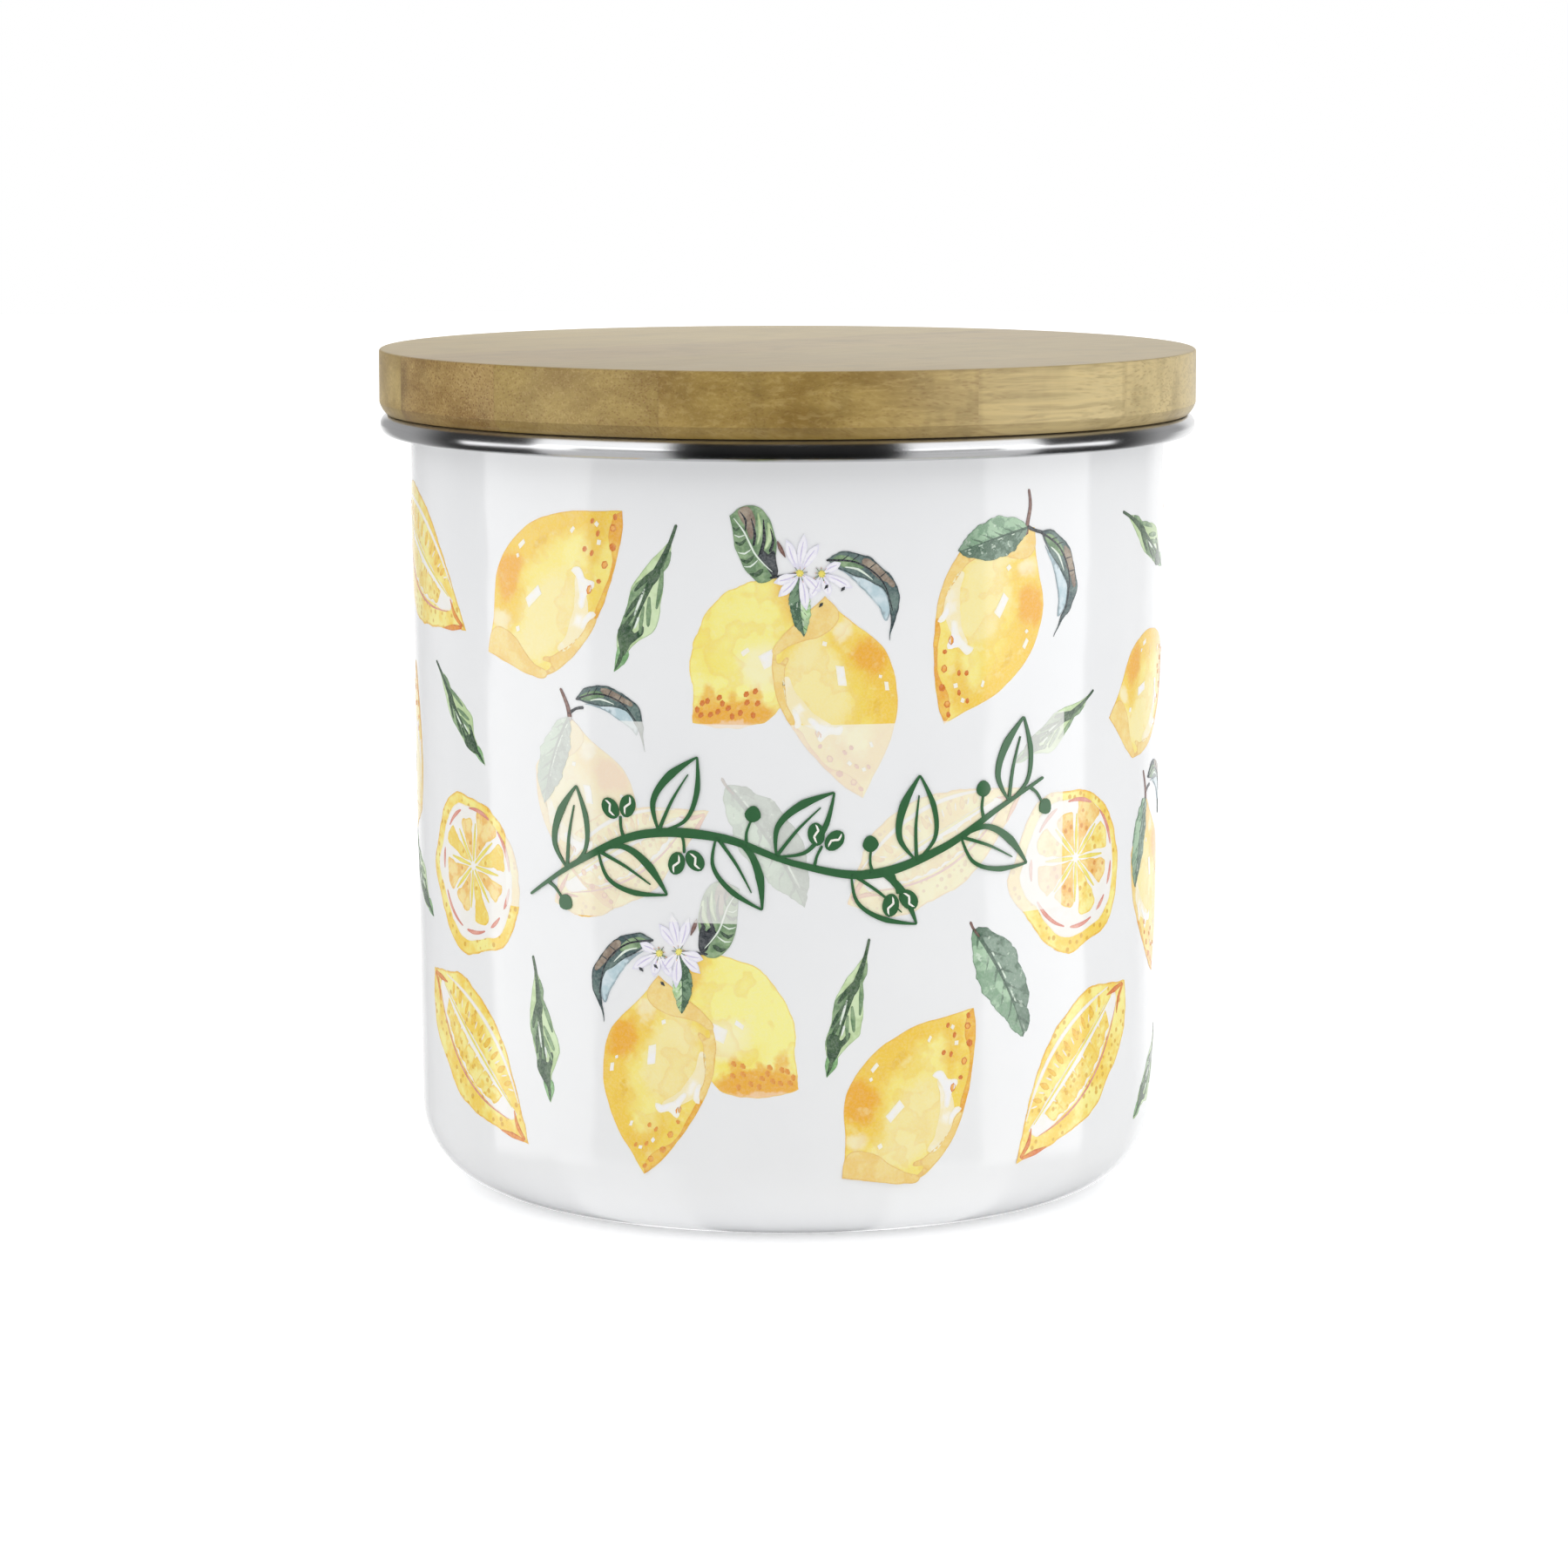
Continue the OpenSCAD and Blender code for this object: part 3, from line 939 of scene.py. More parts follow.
def draw_window(motif, at, x, y, length, width, turn, level=1):
    """A white glint with slanted ends"""
    a, b = length / 2, width / 2
    corners = [(-a, -b), (-a, -b), (a * 0.8, -b), (a * 0.8, -b), (a, b), (a, b), (-a * 0.8, b), (-a * 0.8, b)]
    motif.shape(corners, "window", at @ place(x, y, turn), level, 0.06)


LEMON = [
    (9.2, 12), (9.2, 12), (5.5, 11.2), (2, 10.5), (-1.2, 9.3), (-4.8, 7.1), (-8, 3.4), (-9.3, 0),
    (-9.2, -6), (-9.6, -10.3), (-9.6, -10.3), (-6, -10.8), (-1.5, -11.4), (1.3, -10.8), (3.9, -8.7),
    (6.2, -5.7), (7.8, -2), (8.8, 2), (9.4, 6), (9.6, 9.5),
]
FADE = [
    (4, 2.8), (5.4, 1.4), (6.3, -0.8), (6.2, -3.4), (4.9, -5.7), (2.6, -7.4), (3.5, -5), (4.1, -2.4),
    (4.2, 0.2),
]
SPLASH = [(3.1, 3.2), (4.3, 3.8), (5.3, 2.5), (6.8, 2.2), (5.9, 0.6), (5.2, -1.3), (4.8, 0.8), (3.9, 2.6)]
SMALL_SPLASH = [(7.5, -1.6), (6.5, -1.5), (5.5, -3.7), (6.8, -2.4)]
TOP_EDGE = [
    (9.2, 11.9), (9.2, 11.9), (9.6, 9.5), (9.4, 6), (8.8, 2), (7.8, -2), (7.4, -2.2), (7.4, -0.6), (7.9, 1),
    (8.6, 3.4), (8.8, 5.6), (8.3, 7), (7.9, 8.4), (8, 10), (8.4, 11.3),
]
LOW_EDGE = [
    (7.7, -1.8), (6.2, -5.7), (3.9, -8.7), (1.3, -10.8), (0.2, -11.1), (1.8, -9.4), (0.2, -8.9),
    (1.9, -8.1), (3.6, -6.7), (5.1, -5.3), (5.9, -4.2), (6.6, -2.6),
]
STEM_LOBE = [
    (-9.6, -10.3), (-9.6, -10.3), (-9.4, -8), (-8.5, -6.8), (-6.9, -6.6), (-4.6, -7.4), (-3, -8.6),
    (-1, -9.8), (1.3, -10.8), (-1.5, -11.4), (-4, -11.1), (-7, -10.6),
]
# Centre, length, width and turn of each white glint, and of each pore in the peel
GLINTS = [
    (-2.3, -1.4, 3.2, 1.15, 48), (-5.2, 4.7, 1.4, 0.55, 48), (-5.7, 3.1, 0.5, 0.45, 30),
    (-4.4, -6.1, 0.7, 0.6, 30), (6, 9.6, 0.6, 0.5, 60), (6.6, 7.4, 0.6, 0.6, 0), (2.6, 8.2, 0.9, 0.4, 60),
]
PORES = [
    (8.4, 11, 0.9, 0.6, 90), (8.3, 9.6, 1, 0.9, 60), (8.6, 7.2, 1.1, 0.9, 100), (7.8, 4.8, 1.1, 0.8, 70),
    (7.3, 2.6, 0.7, 0.6, 0), (6.1, 1.3, 1.3, 0.7, 75), (5.3, 9.9, 0.8, 0.5, 70), (6.3, 8.5, 0.9, 0.5, 80),
    (4.7, 6.2, 0.8, 0.6, 60), (5.8, 5.9, 0.9, 0.5, 75),
]


def draw_pores(motif, at, pores, level):
    for x, y, length, width, turn in pores:
        a, b = length / 2, width / 2
        oval = [(-a, 0), (-a * 0.6, -b * 0.9), (a * 0.5, -b), (a, 0.1 * b), (a * 0.4, b), (-a * 0.5, b * 0.8)]
        motif.shape(oval, "pore", at @ place(x, y, turn), level, 0)


# Levels that a lemon takes up
LEMON_TOP = 4


def draw_lemon(motif, at, level=0):
    motif.shape(LEMON, "lemon", at, level, 0.05)
    motif.shape(FADE, "white_wash", at, level + 1, 0.1)
    motif.shape(TOP_EDGE, "peel", at, level + 2, 0.08)
    motif.shape(LOW_EDGE, "lobe", at, level + 1, 0.08)
    motif.shape(STEM_LOBE, "lobe", at, level + 2, 0.05)
    motif.shape(SPLASH, "window", at, level + 3, 0.08)
    motif.shape(SMALL_SPLASH, "window", at, level + 3, 0.05)
    for x, y, length, width, turn in GLINTS:
        draw_window(motif, at, x, y, length, width, turn, level + 3)
    draw_pores(motif, at, PORES, level + 3)


def lemon(motif):
    """A lemon on its own"""
    draw_lemon(motif, np.eye(3))


SLENDER = [
    (0, 0), (0, 0), (2.9, -0.2), (5.9, -1.2), (8.2, -1.9), (10.5, -2.3), (13.3, -1.9), (15.3, -1.8),
    (17.5, -1.5), (19.5, -0.6), (22, 0), (22, 0), (20.5, 0.8), (19.5, 1), (18.4, 0.8), (16.4, 1.8),
    (14.6, 2.9), (13, 2.9), (10.8, 2.4), (9, 1.9), (7.1, 1.1), (5.3, 1.2), (4, 1), (2, 0.2),
]
SLENDER_SHADE = [
    (8, 0), (8.6, -1.2), (10.5, -2.2), (13.3, -1.8), (15.3, -1.7), (17.5, -1.4), (18, -0.1), (13, -0.1),
]
SLENDER_PATCH = [
    (15.7, -1.6), (17.5, -1.4), (19.2, -0.5), (19.7, 0.1), (18.6, 0.6), (17.2, 0.9), (15.2, 1.7),
    (14.5, 1.3), (16, 0.5), (15.4, -0.3),
]
SLENDER_TIP = [(18.8, -0.8), (22, 0), (22, 0), (20.5, 0.8), (19.5, 1), (18.6, 0.7)]
# Paint, points and widths of each brush stroke
SLENDER_STROKES = [
    ("leaf_deep", [(0, 0), (2.5, 0.2), (5.5, 0.2), (8.5, 0), (10.4, -0.5)], [0.4, 0.5, 0.9, 1.3, 0.3]),
    ("leaf_deep", [(8.5, 0.1), (12, 0), (16, 0)], [0.6, 0.4, 0.3]),
    ("leaf_deep", [(6.8, -0.1), (8.6, -0.9), (10.8, -1.7)], [0.5, 0.8, 0.3]),
    ("leaf_deep", [(10.4, -0.5), (12.5, -1.1), (14.6, -1.5)], [0.3, 0.7, 0.3]),
    ("leaf_deep", [(13, -0.4), (15, -0.9), (16.6, -1.2)], [0.3, 0.6, 0.3]),
    ("leaf_mid", [(3.6, 0.7), (5.4, 0.9), (6.8, 0.7)], [0.3, 0.8, 0.3]),
    ("leaf_mid", [(6.2, 0.6), (8.5, 1.4), (11.6, 2.1)], [0.4, 0.75, 0.3]),
    ("leaf_mid", [(10.5, 0.5), (12.5, 1.3), (14.3, 2)], [0.3, 0.75, 0.4]),
    ("leaf_mid", [(12, 0.3), (14, 0.8), (15.8, 1.4)], [0.3, 0.6, 0.3]),
    ("gleam", [(9.8, -0.5), (12, -0.45), (13.8, -0.4)], [0.15, 0.42, 0.2]),
    ("gleam", [(13.6, 0.3), (15.4, 0.35)], [0.45, 0.2]),
    ("leaf_deep", [(18.8, 0), (20.5, 0.1), (21.8, 0)], [0.5, 0.6, 0.15]),
]


def slender_leaf(motif):
    """A narrow leaf, brushed in three greens over a pale one"""
    motif.shape(SLENDER, "leaf_pale", level=0, wobble=0.1)
    motif.shape(SLENDER_SHADE, "leaf_mid", level=1, wobble=0.1)
    motif.shape(SLENDER_TIP, "leaf_tip", level=1, wobble=0.1)
    motif.shape(SLENDER_PATCH, "leaf_deep", level=2, wobble=0.1)
    for paint, points, widths in SLENDER_STROKES:
        motif.stroke(points, widths, paint, level=3)


def big_leaf(motif):
    """A broad leaf on its own"""
    draw_leaf(motif, np.eye(3), "leaf_dusky", 4.3, -0.9, fullness=0.75, stem=1.2)


DROOP_TOP = [
    (8.5, 11.3), (8.5, 11.3), (11, 11.2), (13.8, 9), (15.1, 6), (15.6, 3), (14.4, 0.5), (12.6, -1.2),
    (11.2, -3), (11.2, -3), (12.9, 0.4), (13.6, 3.4), (12.2, 6), (10.2, 8.4),
]
DROOP_UNDER = [
    (9.2, 9.4), (9.2, 9.4), (10.8, 6.6), (12, 2), (12.2, -0.3), (13.8, 3), (12.6, 5.8), (10.8, 7.8),
]
DROOP_LIGHT = [(9.3, 10.9), (10.8, 10.7), (12.4, 9.2), (12.7, 7.8), (11.4, 8.6), (10.4, 8.9), (9.6, 10)]
DROOP_DRY = [(12.9, 9), (14, 8.4), (15, 5.6), (15.2, 3.4), (14.2, 4.8), (13.3, 6.8)]


def draw_droop(motif, at, level=0):
    """A leaf that hangs over, so that its pale underside shows"""
    motif.shape(DROOP_UNDER, "underside", at, level)
    motif.shape(DROOP_TOP, "leaf_blue", at, level + 1)
    motif.shape(DROOP_LIGHT, "leaf_mid", at, level + 2)
    motif.shape(DROOP_DRY, "leaf_dry", at, level + 2)
    midrib = [(8.5, 11.2), (12, 9), (14, 5), (13.4, 0.6)]
    motif.stroke(midrib, [0.3, 0.25, 0.12], "dark", at, level + 3)
    for x, y in ((10.4, 10.2), (11.6, 9.5), (13.2, 7.4), (13.9, 5.6)):
        motif.stroke([(x, y), (x + 1.2, y + 0.2)], [0.2, 0.1], "dark", at, level + 3)
    motif.stroke([(10.3, 9.2), (11.8, 8), (12.9, 5.8)], [0.15, 0.35, 0.1], "gleam", at, level + 3)


def leafy_lemon(motif):
    """A lemon that hangs from a twig, with one leaf laid over it and one that hangs beside it"""
    draw_lemon(motif, place(turn=191.5))
    twig = [(5.9, 11), (6.1, 12.4), (6.6, 15), (6.3, 17.2)]
    motif.stroke(twig, [0.7, 0.55, 0.5, 0.35], "brown", level=LEMON_TOP)
    motif.stroke([(6, 12.2), (7.4, 11.6), (9, 11.2)], [0.6, 0.45, 0.5], "dark", level=LEMON_TOP)
    draw_leaf(motif, span((6.2, 12), (-4.9, 9.9), LEAF_L), "leaf_dusky", 5.3, 0.3, LEMON_TOP + 1, 0.7)
    draw_droop(motif, np.eye(3), LEMON_TOP)


def leafy_lemon_bare(motif):
    """The same lemon with its leaf hanging outside it"""
    draw_lemon(motif, place(-1.2, 0.5, -126, 0.9))
    motif.stroke([(-3.8, 12.6), (-4.2, 14.6), (-5.4, 17)], [0.7, 0.55, 0.35], "brown", level=LEMON_TOP)
    motif.stroke([(-4.1, 13.6), (-2.8, 14.4), (-1.6, 14.6)], [0.5, 0.35, 0.45], "dark", level=LEMON_TOP)
    draw_leaf(motif, span((-4, 13.2), (-11, 2.2), LEAF_L), "leaf_dusky", 4, 1.2, LEMON_TOP + 1, 0.75)
    draw_droop(motif, place(-0.6, 3.9, 47.8, 0.85), LEMON_TOP)


def petal(motif, x, y, angle, length, width, at, level):
    """A petal from a point outwards"""
    half = width / 2
    points = [(0, 0), (0, 0), (length * 0.35, -half * 0.7), (length * 0.7, -half), (length, 0), (length, 0),
              (length * 0.75, half), (length * 0.3, half * 0.8)]
    motif.shape(points, "petal", at @ place(x, y, angle), level, 0.08)
    fold = [(length * 0.25, 0.1), (length * 0.5, 0.15), (length * 0.8, 0)]
    motif.stroke(fold, [0.1, 0.22, 0.08], "lilac", at @ place(x, y, angle), level + 1)


PETALS = [(112, 4.9), (84, 5.3), (58, 4.6), (200, 3.6), (228, 4.2), (280, 5), (318, 3.6)]
SIDE_PETALS = [(30, 3), (-24, 4.6), (-70, 3.2), (-115, 3.6)]


def draw_blossom(motif, at, petals, level):
    for angle, length in petals:
        petal(motif, 0, 0, angle, length, 1.25, at, level)
    motif.shape([(-0.5, 0.1), (-0.2, -0.45), (0.3, -0.4), (0.5, 0), (0.3, 0.4), (-0.2, 0.45)], "lime", at,
                level + 2, 0.06)
    for number, angle in enumerate(range(10, 370, 40)):
        reach = 0.8 + 0.25 * math.sin(3.0 * number)
        foot, tip, end = (polar(reach * share, angle) for share in (0.4, 1, 1.25))
        motif.stroke([foot, tip], [0.14, 0.14], "leaf_mid", at, level + 3)
        motif.stroke([tip, end], [0.3, 0.24], "anther" if number % 3 else "brown", at, level + 4)


BACK_LEMON = [
    (7, 10.4), (2.5, 10.6), (0, 9.9), (-3.6, 7.6), (-6, 3.8), (-7, -0.5), (-6.6, -5), (-6.7, -8.6),
    (-6.7, -8.6), (-3, -9.3), (1.5, -8.8), (4.4, -7.4), (6, -4), (7.6, 2), (8.2, 7),
]
# Places of the pores on the lemon behind
BACK_PORES = [
    (-12.1, -6.9), (-11.4, -6), (-11.6, -7.6), (-10.7, -5.7), (-10.3, -7.5), (-9.1, -5.2), (-9.3, -7.1),
    (-8.7, -6), (-7.9, -6.6), (-7.4, -7.7), (-6.3, -7.2), (-5.4, -5.8), (-5.5, -4.7), (-4.3, -4.3),
    (-4, -5.9), (-4.6, -7.5),
]
CURLED_LEAF = [
    (-7.6, 19.1), (-7.6, 19.1), (-6, 20.3), (-4.7, 20.5), (-3.2, 19.7), (-2.2, 18.1), (-1.6, 16),
    (-1.5, 13.3), (-1.6, 11), (-1.6, 11), (-2.4, 10.4), (-3.7, 10.3), (-5.4, 11.5), (-6.4, 13.3),
    (-7, 15.4), (-7.3, 17.8),
]
CURLED_SHADE = [
    (-1.6, 11), (-1.5, 13.3), (-1.9, 14.6), (-2.5, 13.9), (-3.2, 14.4), (-3.8, 13.4), (-2.9, 12.3),
]
CURLED_DRY = [(-6.6, 19.5), (-5.2, 20.3), (-4.2, 19), (-4.3, 16.9), (-4.9, 15.9), (-5.3, 17.2)]
# Paint, points and widths of each brush stroke
CURLED_STROKES = [
    ("leaf_pale", [(-3, 14.6), (-2.3, 16.4), (-2.6, 18.2)], [0.3, 0.8, 0.3]),
    ("leaf_pale", [(-4, 15.2), (-3.6, 17), (-3.9, 19.4)], [0.2, 0.6, 0.2]),
    ("dark", [(-3.6, 13.9), (-3.1, 15.8), (-3.2, 18.6)], [0.5, 0.45, 0.12]),
    ("dark", [(-2.4, 14.2), (-1.9, 15.6), (-2.3, 17.4)], [0.4, 0.35, 0.1]),
    ("dark", [(-4.5, 15), (-4.3, 16.6), (-4.8, 18.7)], [0.35, 0.35, 0.1]),
    ("dark", [(-5.6, 17), (-5.5, 18.4), (-6.3, 19.6)], [0.15, 0.3, 0.1]),
    ("leaf_deep", [(-3.2, 12), (-4.2, 11.2), (-5, 11.4)], [0.5, 0.7, 0.2]),
    ("leaf_deep", [(-4.4, 13.8), (-5.4, 12.9), (-6.2, 13.3)], [0.2, 0.6, 0.2]),
    ("leaf_deep", [(-5.4, 16), (-6.3, 15.2), (-6.9, 15.6)], [0.2, 0.5, 0.2]),
    ("leaf_deep", [(-6.2, 17.6), (-6.8, 17.1), (-7.2, 17.5)], [0.15, 0.4, 0.1]),
    ("gleam", [(-3.9, 13.2), (-4.9, 12.3), (-5.8, 12.3)], [0.1, 0.26, 0.1]),
    ("gleam", [(-4.8, 14.6), (-5.7, 14), (-6.6, 14.2)], [0.1, 0.26, 0.1]),
    ("gleam", [(-5.6, 16.5), (-6.4, 16.2), (-7, 16.5)], [0.1, 0.22, 0.1]),
    ("gleam", [(-2, 11.6), (-3.1, 12.6), (-4.3, 14), (-5.1, 15.6), (-5.8, 17), (-7.1, 18.7)],
     [0.1, 0.22, 0.26, 0.22, 0.1]),
]


def cluster(motif):
    """Two lemons on a twig, with blossoms and leaves"""
    motif.shape(BACK_LEMON, "lemon_bright", place(-6, 0), 0)
    draw_pores(motif, np.eye(3), [(x, y, 0.95, 0.65, 70 + 25 * math.sin(5 * x)) for x, y in BACK_PORES], 1)
    draw_window(motif, np.eye(3), -2.6, 0, 2.4, 1.9, 30, 1)
    draw_window(motif, np.eye(3), -5.6, 0.9, 1.4, 0.6, 40, 1)
    draw_lemon(motif, place(6.7, -4.8, -129, 0.94), 2)
    top = LEMON_TOP + 2
    motif.shape(CURLED_LEAF, "leaf_mid", level=top, wobble=0.1)
    motif.shape(CURLED_SHADE, "dark", level=top + 1, wobble=0.1)
    motif.shape(CURLED_DRY, "leaf_dry", level=top + 1, wobble=0.1)
    for paint, points, widths in CURLED_STROKES:
        motif.stroke(points, widths, paint, level=top + 3 if paint == "gleam" else top + 2)
    draw_leaf(motif, span((1.6, 10.8), (1, 3), LEAF_L), "leaf", 3.9, 0.8, top + 2, 0.8)
    draw_droop(motif, place(2.8, -0.2, 27.6, 0.96), top)
    motif.stroke([(-2.4, 10.8), (-0.6, 11.1), (1.2, 11.4)], [0.3, 0.35, 0.25], "dark", level=top + 4)
    motif.stroke([(-1.35, 15.7), (-1, 14.8), (-0.3, 13.5)], [0.2, 0.65, 0.1], "brown", level=top + 4)
    draw_blossom(motif, place(4.4, 11.3), SIDE_PETALS, top + 5)
    draw_blossom(motif, place(1.6, 11.4), PETALS, top + 6)
    for x, y in ((4.8, 9.3), (4.1, 6.9), (7, 9)):
        motif.stroke([(x, y), (x + 0.5, y + 0.6)], [0.25, 0.5, 0.2], "dark", level=top + 8)


SLICE = [
    (-5, 10.4), (0, 10.3), (4.7, 9), (8.8, 5), (10.6, -1), (9.7, -6), (7, -9.7), (2.5, -10.9),
    (-2.3, -11.6), (-6.5, -9.3), (-10, -4.4), (-12.3, -0.5), (-10.8, 3), (-8.5, 7.5),
]
PULP_COUNT = 8
PULP_C = (0.4, 0.9)
# Radii of the pink strokes, sideways and upwards, and the angles between which each one runs
PINK_R = (8.5, 8.6)
PINK_ARCS = [(60, 95), (110, 140), (165, 185), (205, 250), (258, 290), (300, 318), (328, 350), (5, 45)]


def round_slice(motif):
    """A round slice: rind, pith, wedges of pulp, and pink strokes between them"""
    motif.shape(SLICE, "rind")
    motif.shape([(x * 0.85, y * 0.85) for x, y in SLICE], "pith", place(0.2, 0.2), 1)
    centre = place(*PULP_C)
    for i in range(PULP_COUNT):
        middle = 360 / PULP_COUNT * (i + 0.35)
        reach = 7.4 + 0.8 * math.sin(2.3 * i)
        half = 17 + 4 * math.sin(1.7 * i)
        rounded = [(-half, 0.94), (-half * 0.5, 1), (half * 0.5, 1), (half, 0.94)]
        outer = [polar(reach * share, a) for a, share in rounded]
        cell = [(1, 0), (1, 0), (3.6, -0.8)] + outer + [(3.6, 0.8)]
        motif.shape(cell, "pulp" if i % 3 else "pulp_pale", centre @ place(turn=middle), 2, 0.22)
        ray = [polar(r, 360 / PULP_COUNT * (i + 0.85)) for r in (0.6, 3, 6)]
        motif.stroke(ray, [0.3, 0.6, 0.2], "lime", centre, 3)
    for start, end in PINK_ARCS:
        angles = np.radians(np.linspace(start, end, 5))
        track = [(PINK_R[0] * math.cos(a), PINK_R[1] * math.sin(a)) for a in angles]
        motif.stroke(track, [0.25, 0.6, 0.5, 0.2], "pink", place(0.2, 0.2), 3)


# A wedge lies along x, and its rows of pulp follow low arches
WEDGE = [
    (-15.8, -1.4), (-15.8, -1.4), (-12.2, 2.2), (-8.6, 5.6), (-4, 6.8), (1.5, 6.8), (6.8, 4.9), (12.4, 1.8),
    (17.2, -1.3), (17.2, -1.3), (12.2, -3.9), (6.6, -6.5), (1.5, -8.2), (-4.1, -7.8), (-9.6, -7.2),
    (-13.2, -4.9),
]
ARCH_SPAN = 29


def arch(u, height):
    """Height of a low arch over the wedge's length"""
    return height * math.cos(math.pi * u / ARCH_SPAN) ** 0.8


def arch_line(height, start, end, count=5):
    us = np.linspace(start, end, count)
    return [(u, arch(u, height)) for u in us]


def draw_cells(motif, count, low, high, slant, level):
    """A row of pulp cells between two arches"""
    edges = [-9.2 + 18.6 * i / count for i in range(count + 1)]
    for i, (a, b) in enumerate(zip(edges, edges[1:])):
        a, b = a + 0.14, b - 0.14
        lean = slant * (a + b) / 2
        points = [(a, arch(a, low)), (a, arch(a, low)), (b, arch(b, low)), (b, arch(b, low)),
                  (b + lean, arch(b, high)), ((a + b) / 2 + lean, arch((a + b) / 2, high) + 0.25),
                  (a + lean, arch(a, high))]
        motif.shape(points, "pulp_pale", level=level)


def wedge(motif):
    """A quarter cut along the fruit: rind, a white core with pulp cells, and pulp above it"""
    motif.shape(WEDGE, "rind")
    core = arch_line(1.1, -12.6, 12.8, 6) + arch_line(-4.1, 12.4, -12.2, 6)
    motif.shape([core[0]] + core[:6] + [core[5]] + core[6:], "pith", level=1)
    draw_cells(motif, 7, -0.2, -3.8, -0.08, 2)
    motif.stroke(arch_line(5.2, -11.8, 12.2, 7), [0.15, 0.6, 0.7, 0.6, 0.15], "pith", level=1)
    motif.stroke(arch_line(-4.6, -12, 12, 7), [0.1, 0.3, 0.34, 0.3, 0.1], "pink", level=2)
    motif.stroke(arch_line(0.7, -11.4, 11.6, 5), [0.15, 0.4, 0.4, 0.15], "lime", level=2)
    for i in range(9):
        u = -8.4 + 2.1 * i
        foot, top = arch(u, 2.2), arch(u, 4.5)
        lean = 0.12 * u
        motif.stroke([(u, foot), (u + lean, top)], [0.4, 1.1 if i % 2 else 0.8, 0.2], "gold", level=1)
        gap = [(u + 1, foot + 0.2), (u + 1 + lean, top - 0.7)]
        motif.stroke(gap, [0.16, 0.3, 0.1], "pith", level=1)
    for u, turn in ((-15.4, 0), (16.6, 180)):
        corner = place(u, -1.3, turn)
        motif.stroke([(0.4, 0.2), (2.2, 1.2), (4.6, 2.6)], [0.4, 0.8, 0.15], "orange", corner, 3)
        motif.stroke([(0.3, 0), (2.6, -0.4), (4.4, -1.6)], [0.4, 0.7, 0.15], "orange", corner, 3)


SPRIG_STEM = [
    (-38, 46.5), (-30, 51.5), (-20, 56), (-9, 56), (1, 52.6), (11, 51), (21, 54), (30, 59), (37.5, 62.5),
]
# Foot and direction of each leaf
SPRIG_LEAVES = [
    (-31.5, 50.6, 82), (-26.5, 53.4, -28), (-17.5, 56.6, 62), (-9.5, 56.1, -58), (-1.5, 53.6, 48),
    (8.5, 51.1, -38), (17.5, 52.6, 88), (24, 55.4, -22), (31.5, 59.8, 78),
]
# Foot and direction of each stalk that carries a pair of beans, or one cherry
SPRIG_BEANS = [(-22.5, 55.2, 100), (3.5, 52, 70), (-14.5, 56.9, -80), (14, 51.3, -75)]
SPRIG_CHERRIES = [(-5.5, 55.2, 78), (11.5, 51, 96), (-35, 48.6, -40), (27.5, 57.6, 92), (35, 61.4, -45)]
SPRIG_LEVEL = 16
SPRIG_SEED = 60


def draw_sprig_leaf(motif, at):
    """The outline and midrib of a leaf, by a pen that presses harder on its way down"""
    for side, pressed in ((1, 1.15), (-1, 0.75)):
        track = [(0, 0), (3, 2.5 * side), (7.2, 2.2 * side), (11.5, 0)]
        motif.stroke(track, [0.25, 0.7 * pressed, pressed, 0.25], "ink", at, SPRIG_LEVEL)
    motif.stroke([(0, 0), (4.5, 0.3), (8.8, 0)], [0.5, 0.4, 0.15], "ink", at, SPRIG_LEVEL)


def draw_bean(motif, at):
    oval = [(-1.6, 0), (-0.9, -0.95), (0.7, -1), (1.6, 0), (0.8, 1), (-0.8, 0.95)]
    motif.shape(oval, "ink", at, SPRIG_LEVEL, 0.03)
    crease = [(-1.2, 0), (-0.3, 0.3), (0.5, -0.3), (1.3, 0)]
    motif.stroke(crease, [0.2, 0.3, 0.3, 0.2], "pith", at, SPRIG_LEVEL + 1)


def coffee_sprig(motif):
    """A sprig of coffee drawn with a pen, in the place of a name"""
    motif.stroke(SPRIG_STEM, [0.35, 1, 1.3, 0.8, 1.3, 0.9, 0.35], "ink", level=SPRIG_LEVEL)
    for s, z, angle in SPRIG_LEAVES:
        draw_sprig_leaf(motif, place(s, z, angle))
    for s, z, angle in SPRIG_BEANS:
        stalk = place(s, z, angle)
        motif.stroke([(0, 0), (1.6, 0.2), (3.2, 0)], [0.5, 0.35, 0.4], "ink", stalk, SPRIG_LEVEL)
        draw_bean(motif, stalk @ place(4.4, 1.3, 25))
        draw_bean(motif, stalk @ place(4.4, -1.3, -25))
    for s, z, angle in SPRIG_CHERRIES:
        stalk = place(s, z, angle)
        motif.stroke([(0, 0), (1.6, 0.3), (3.4, 0)], [0.5, 0.35, 0.3], "ink", stalk, SPRIG_LEVEL)
        motif.shape([(3, 0), (4, -1.1), (5.3, 0), (4, 1.1)], "ink", stalk, SPRIG_LEVEL, 0.03)


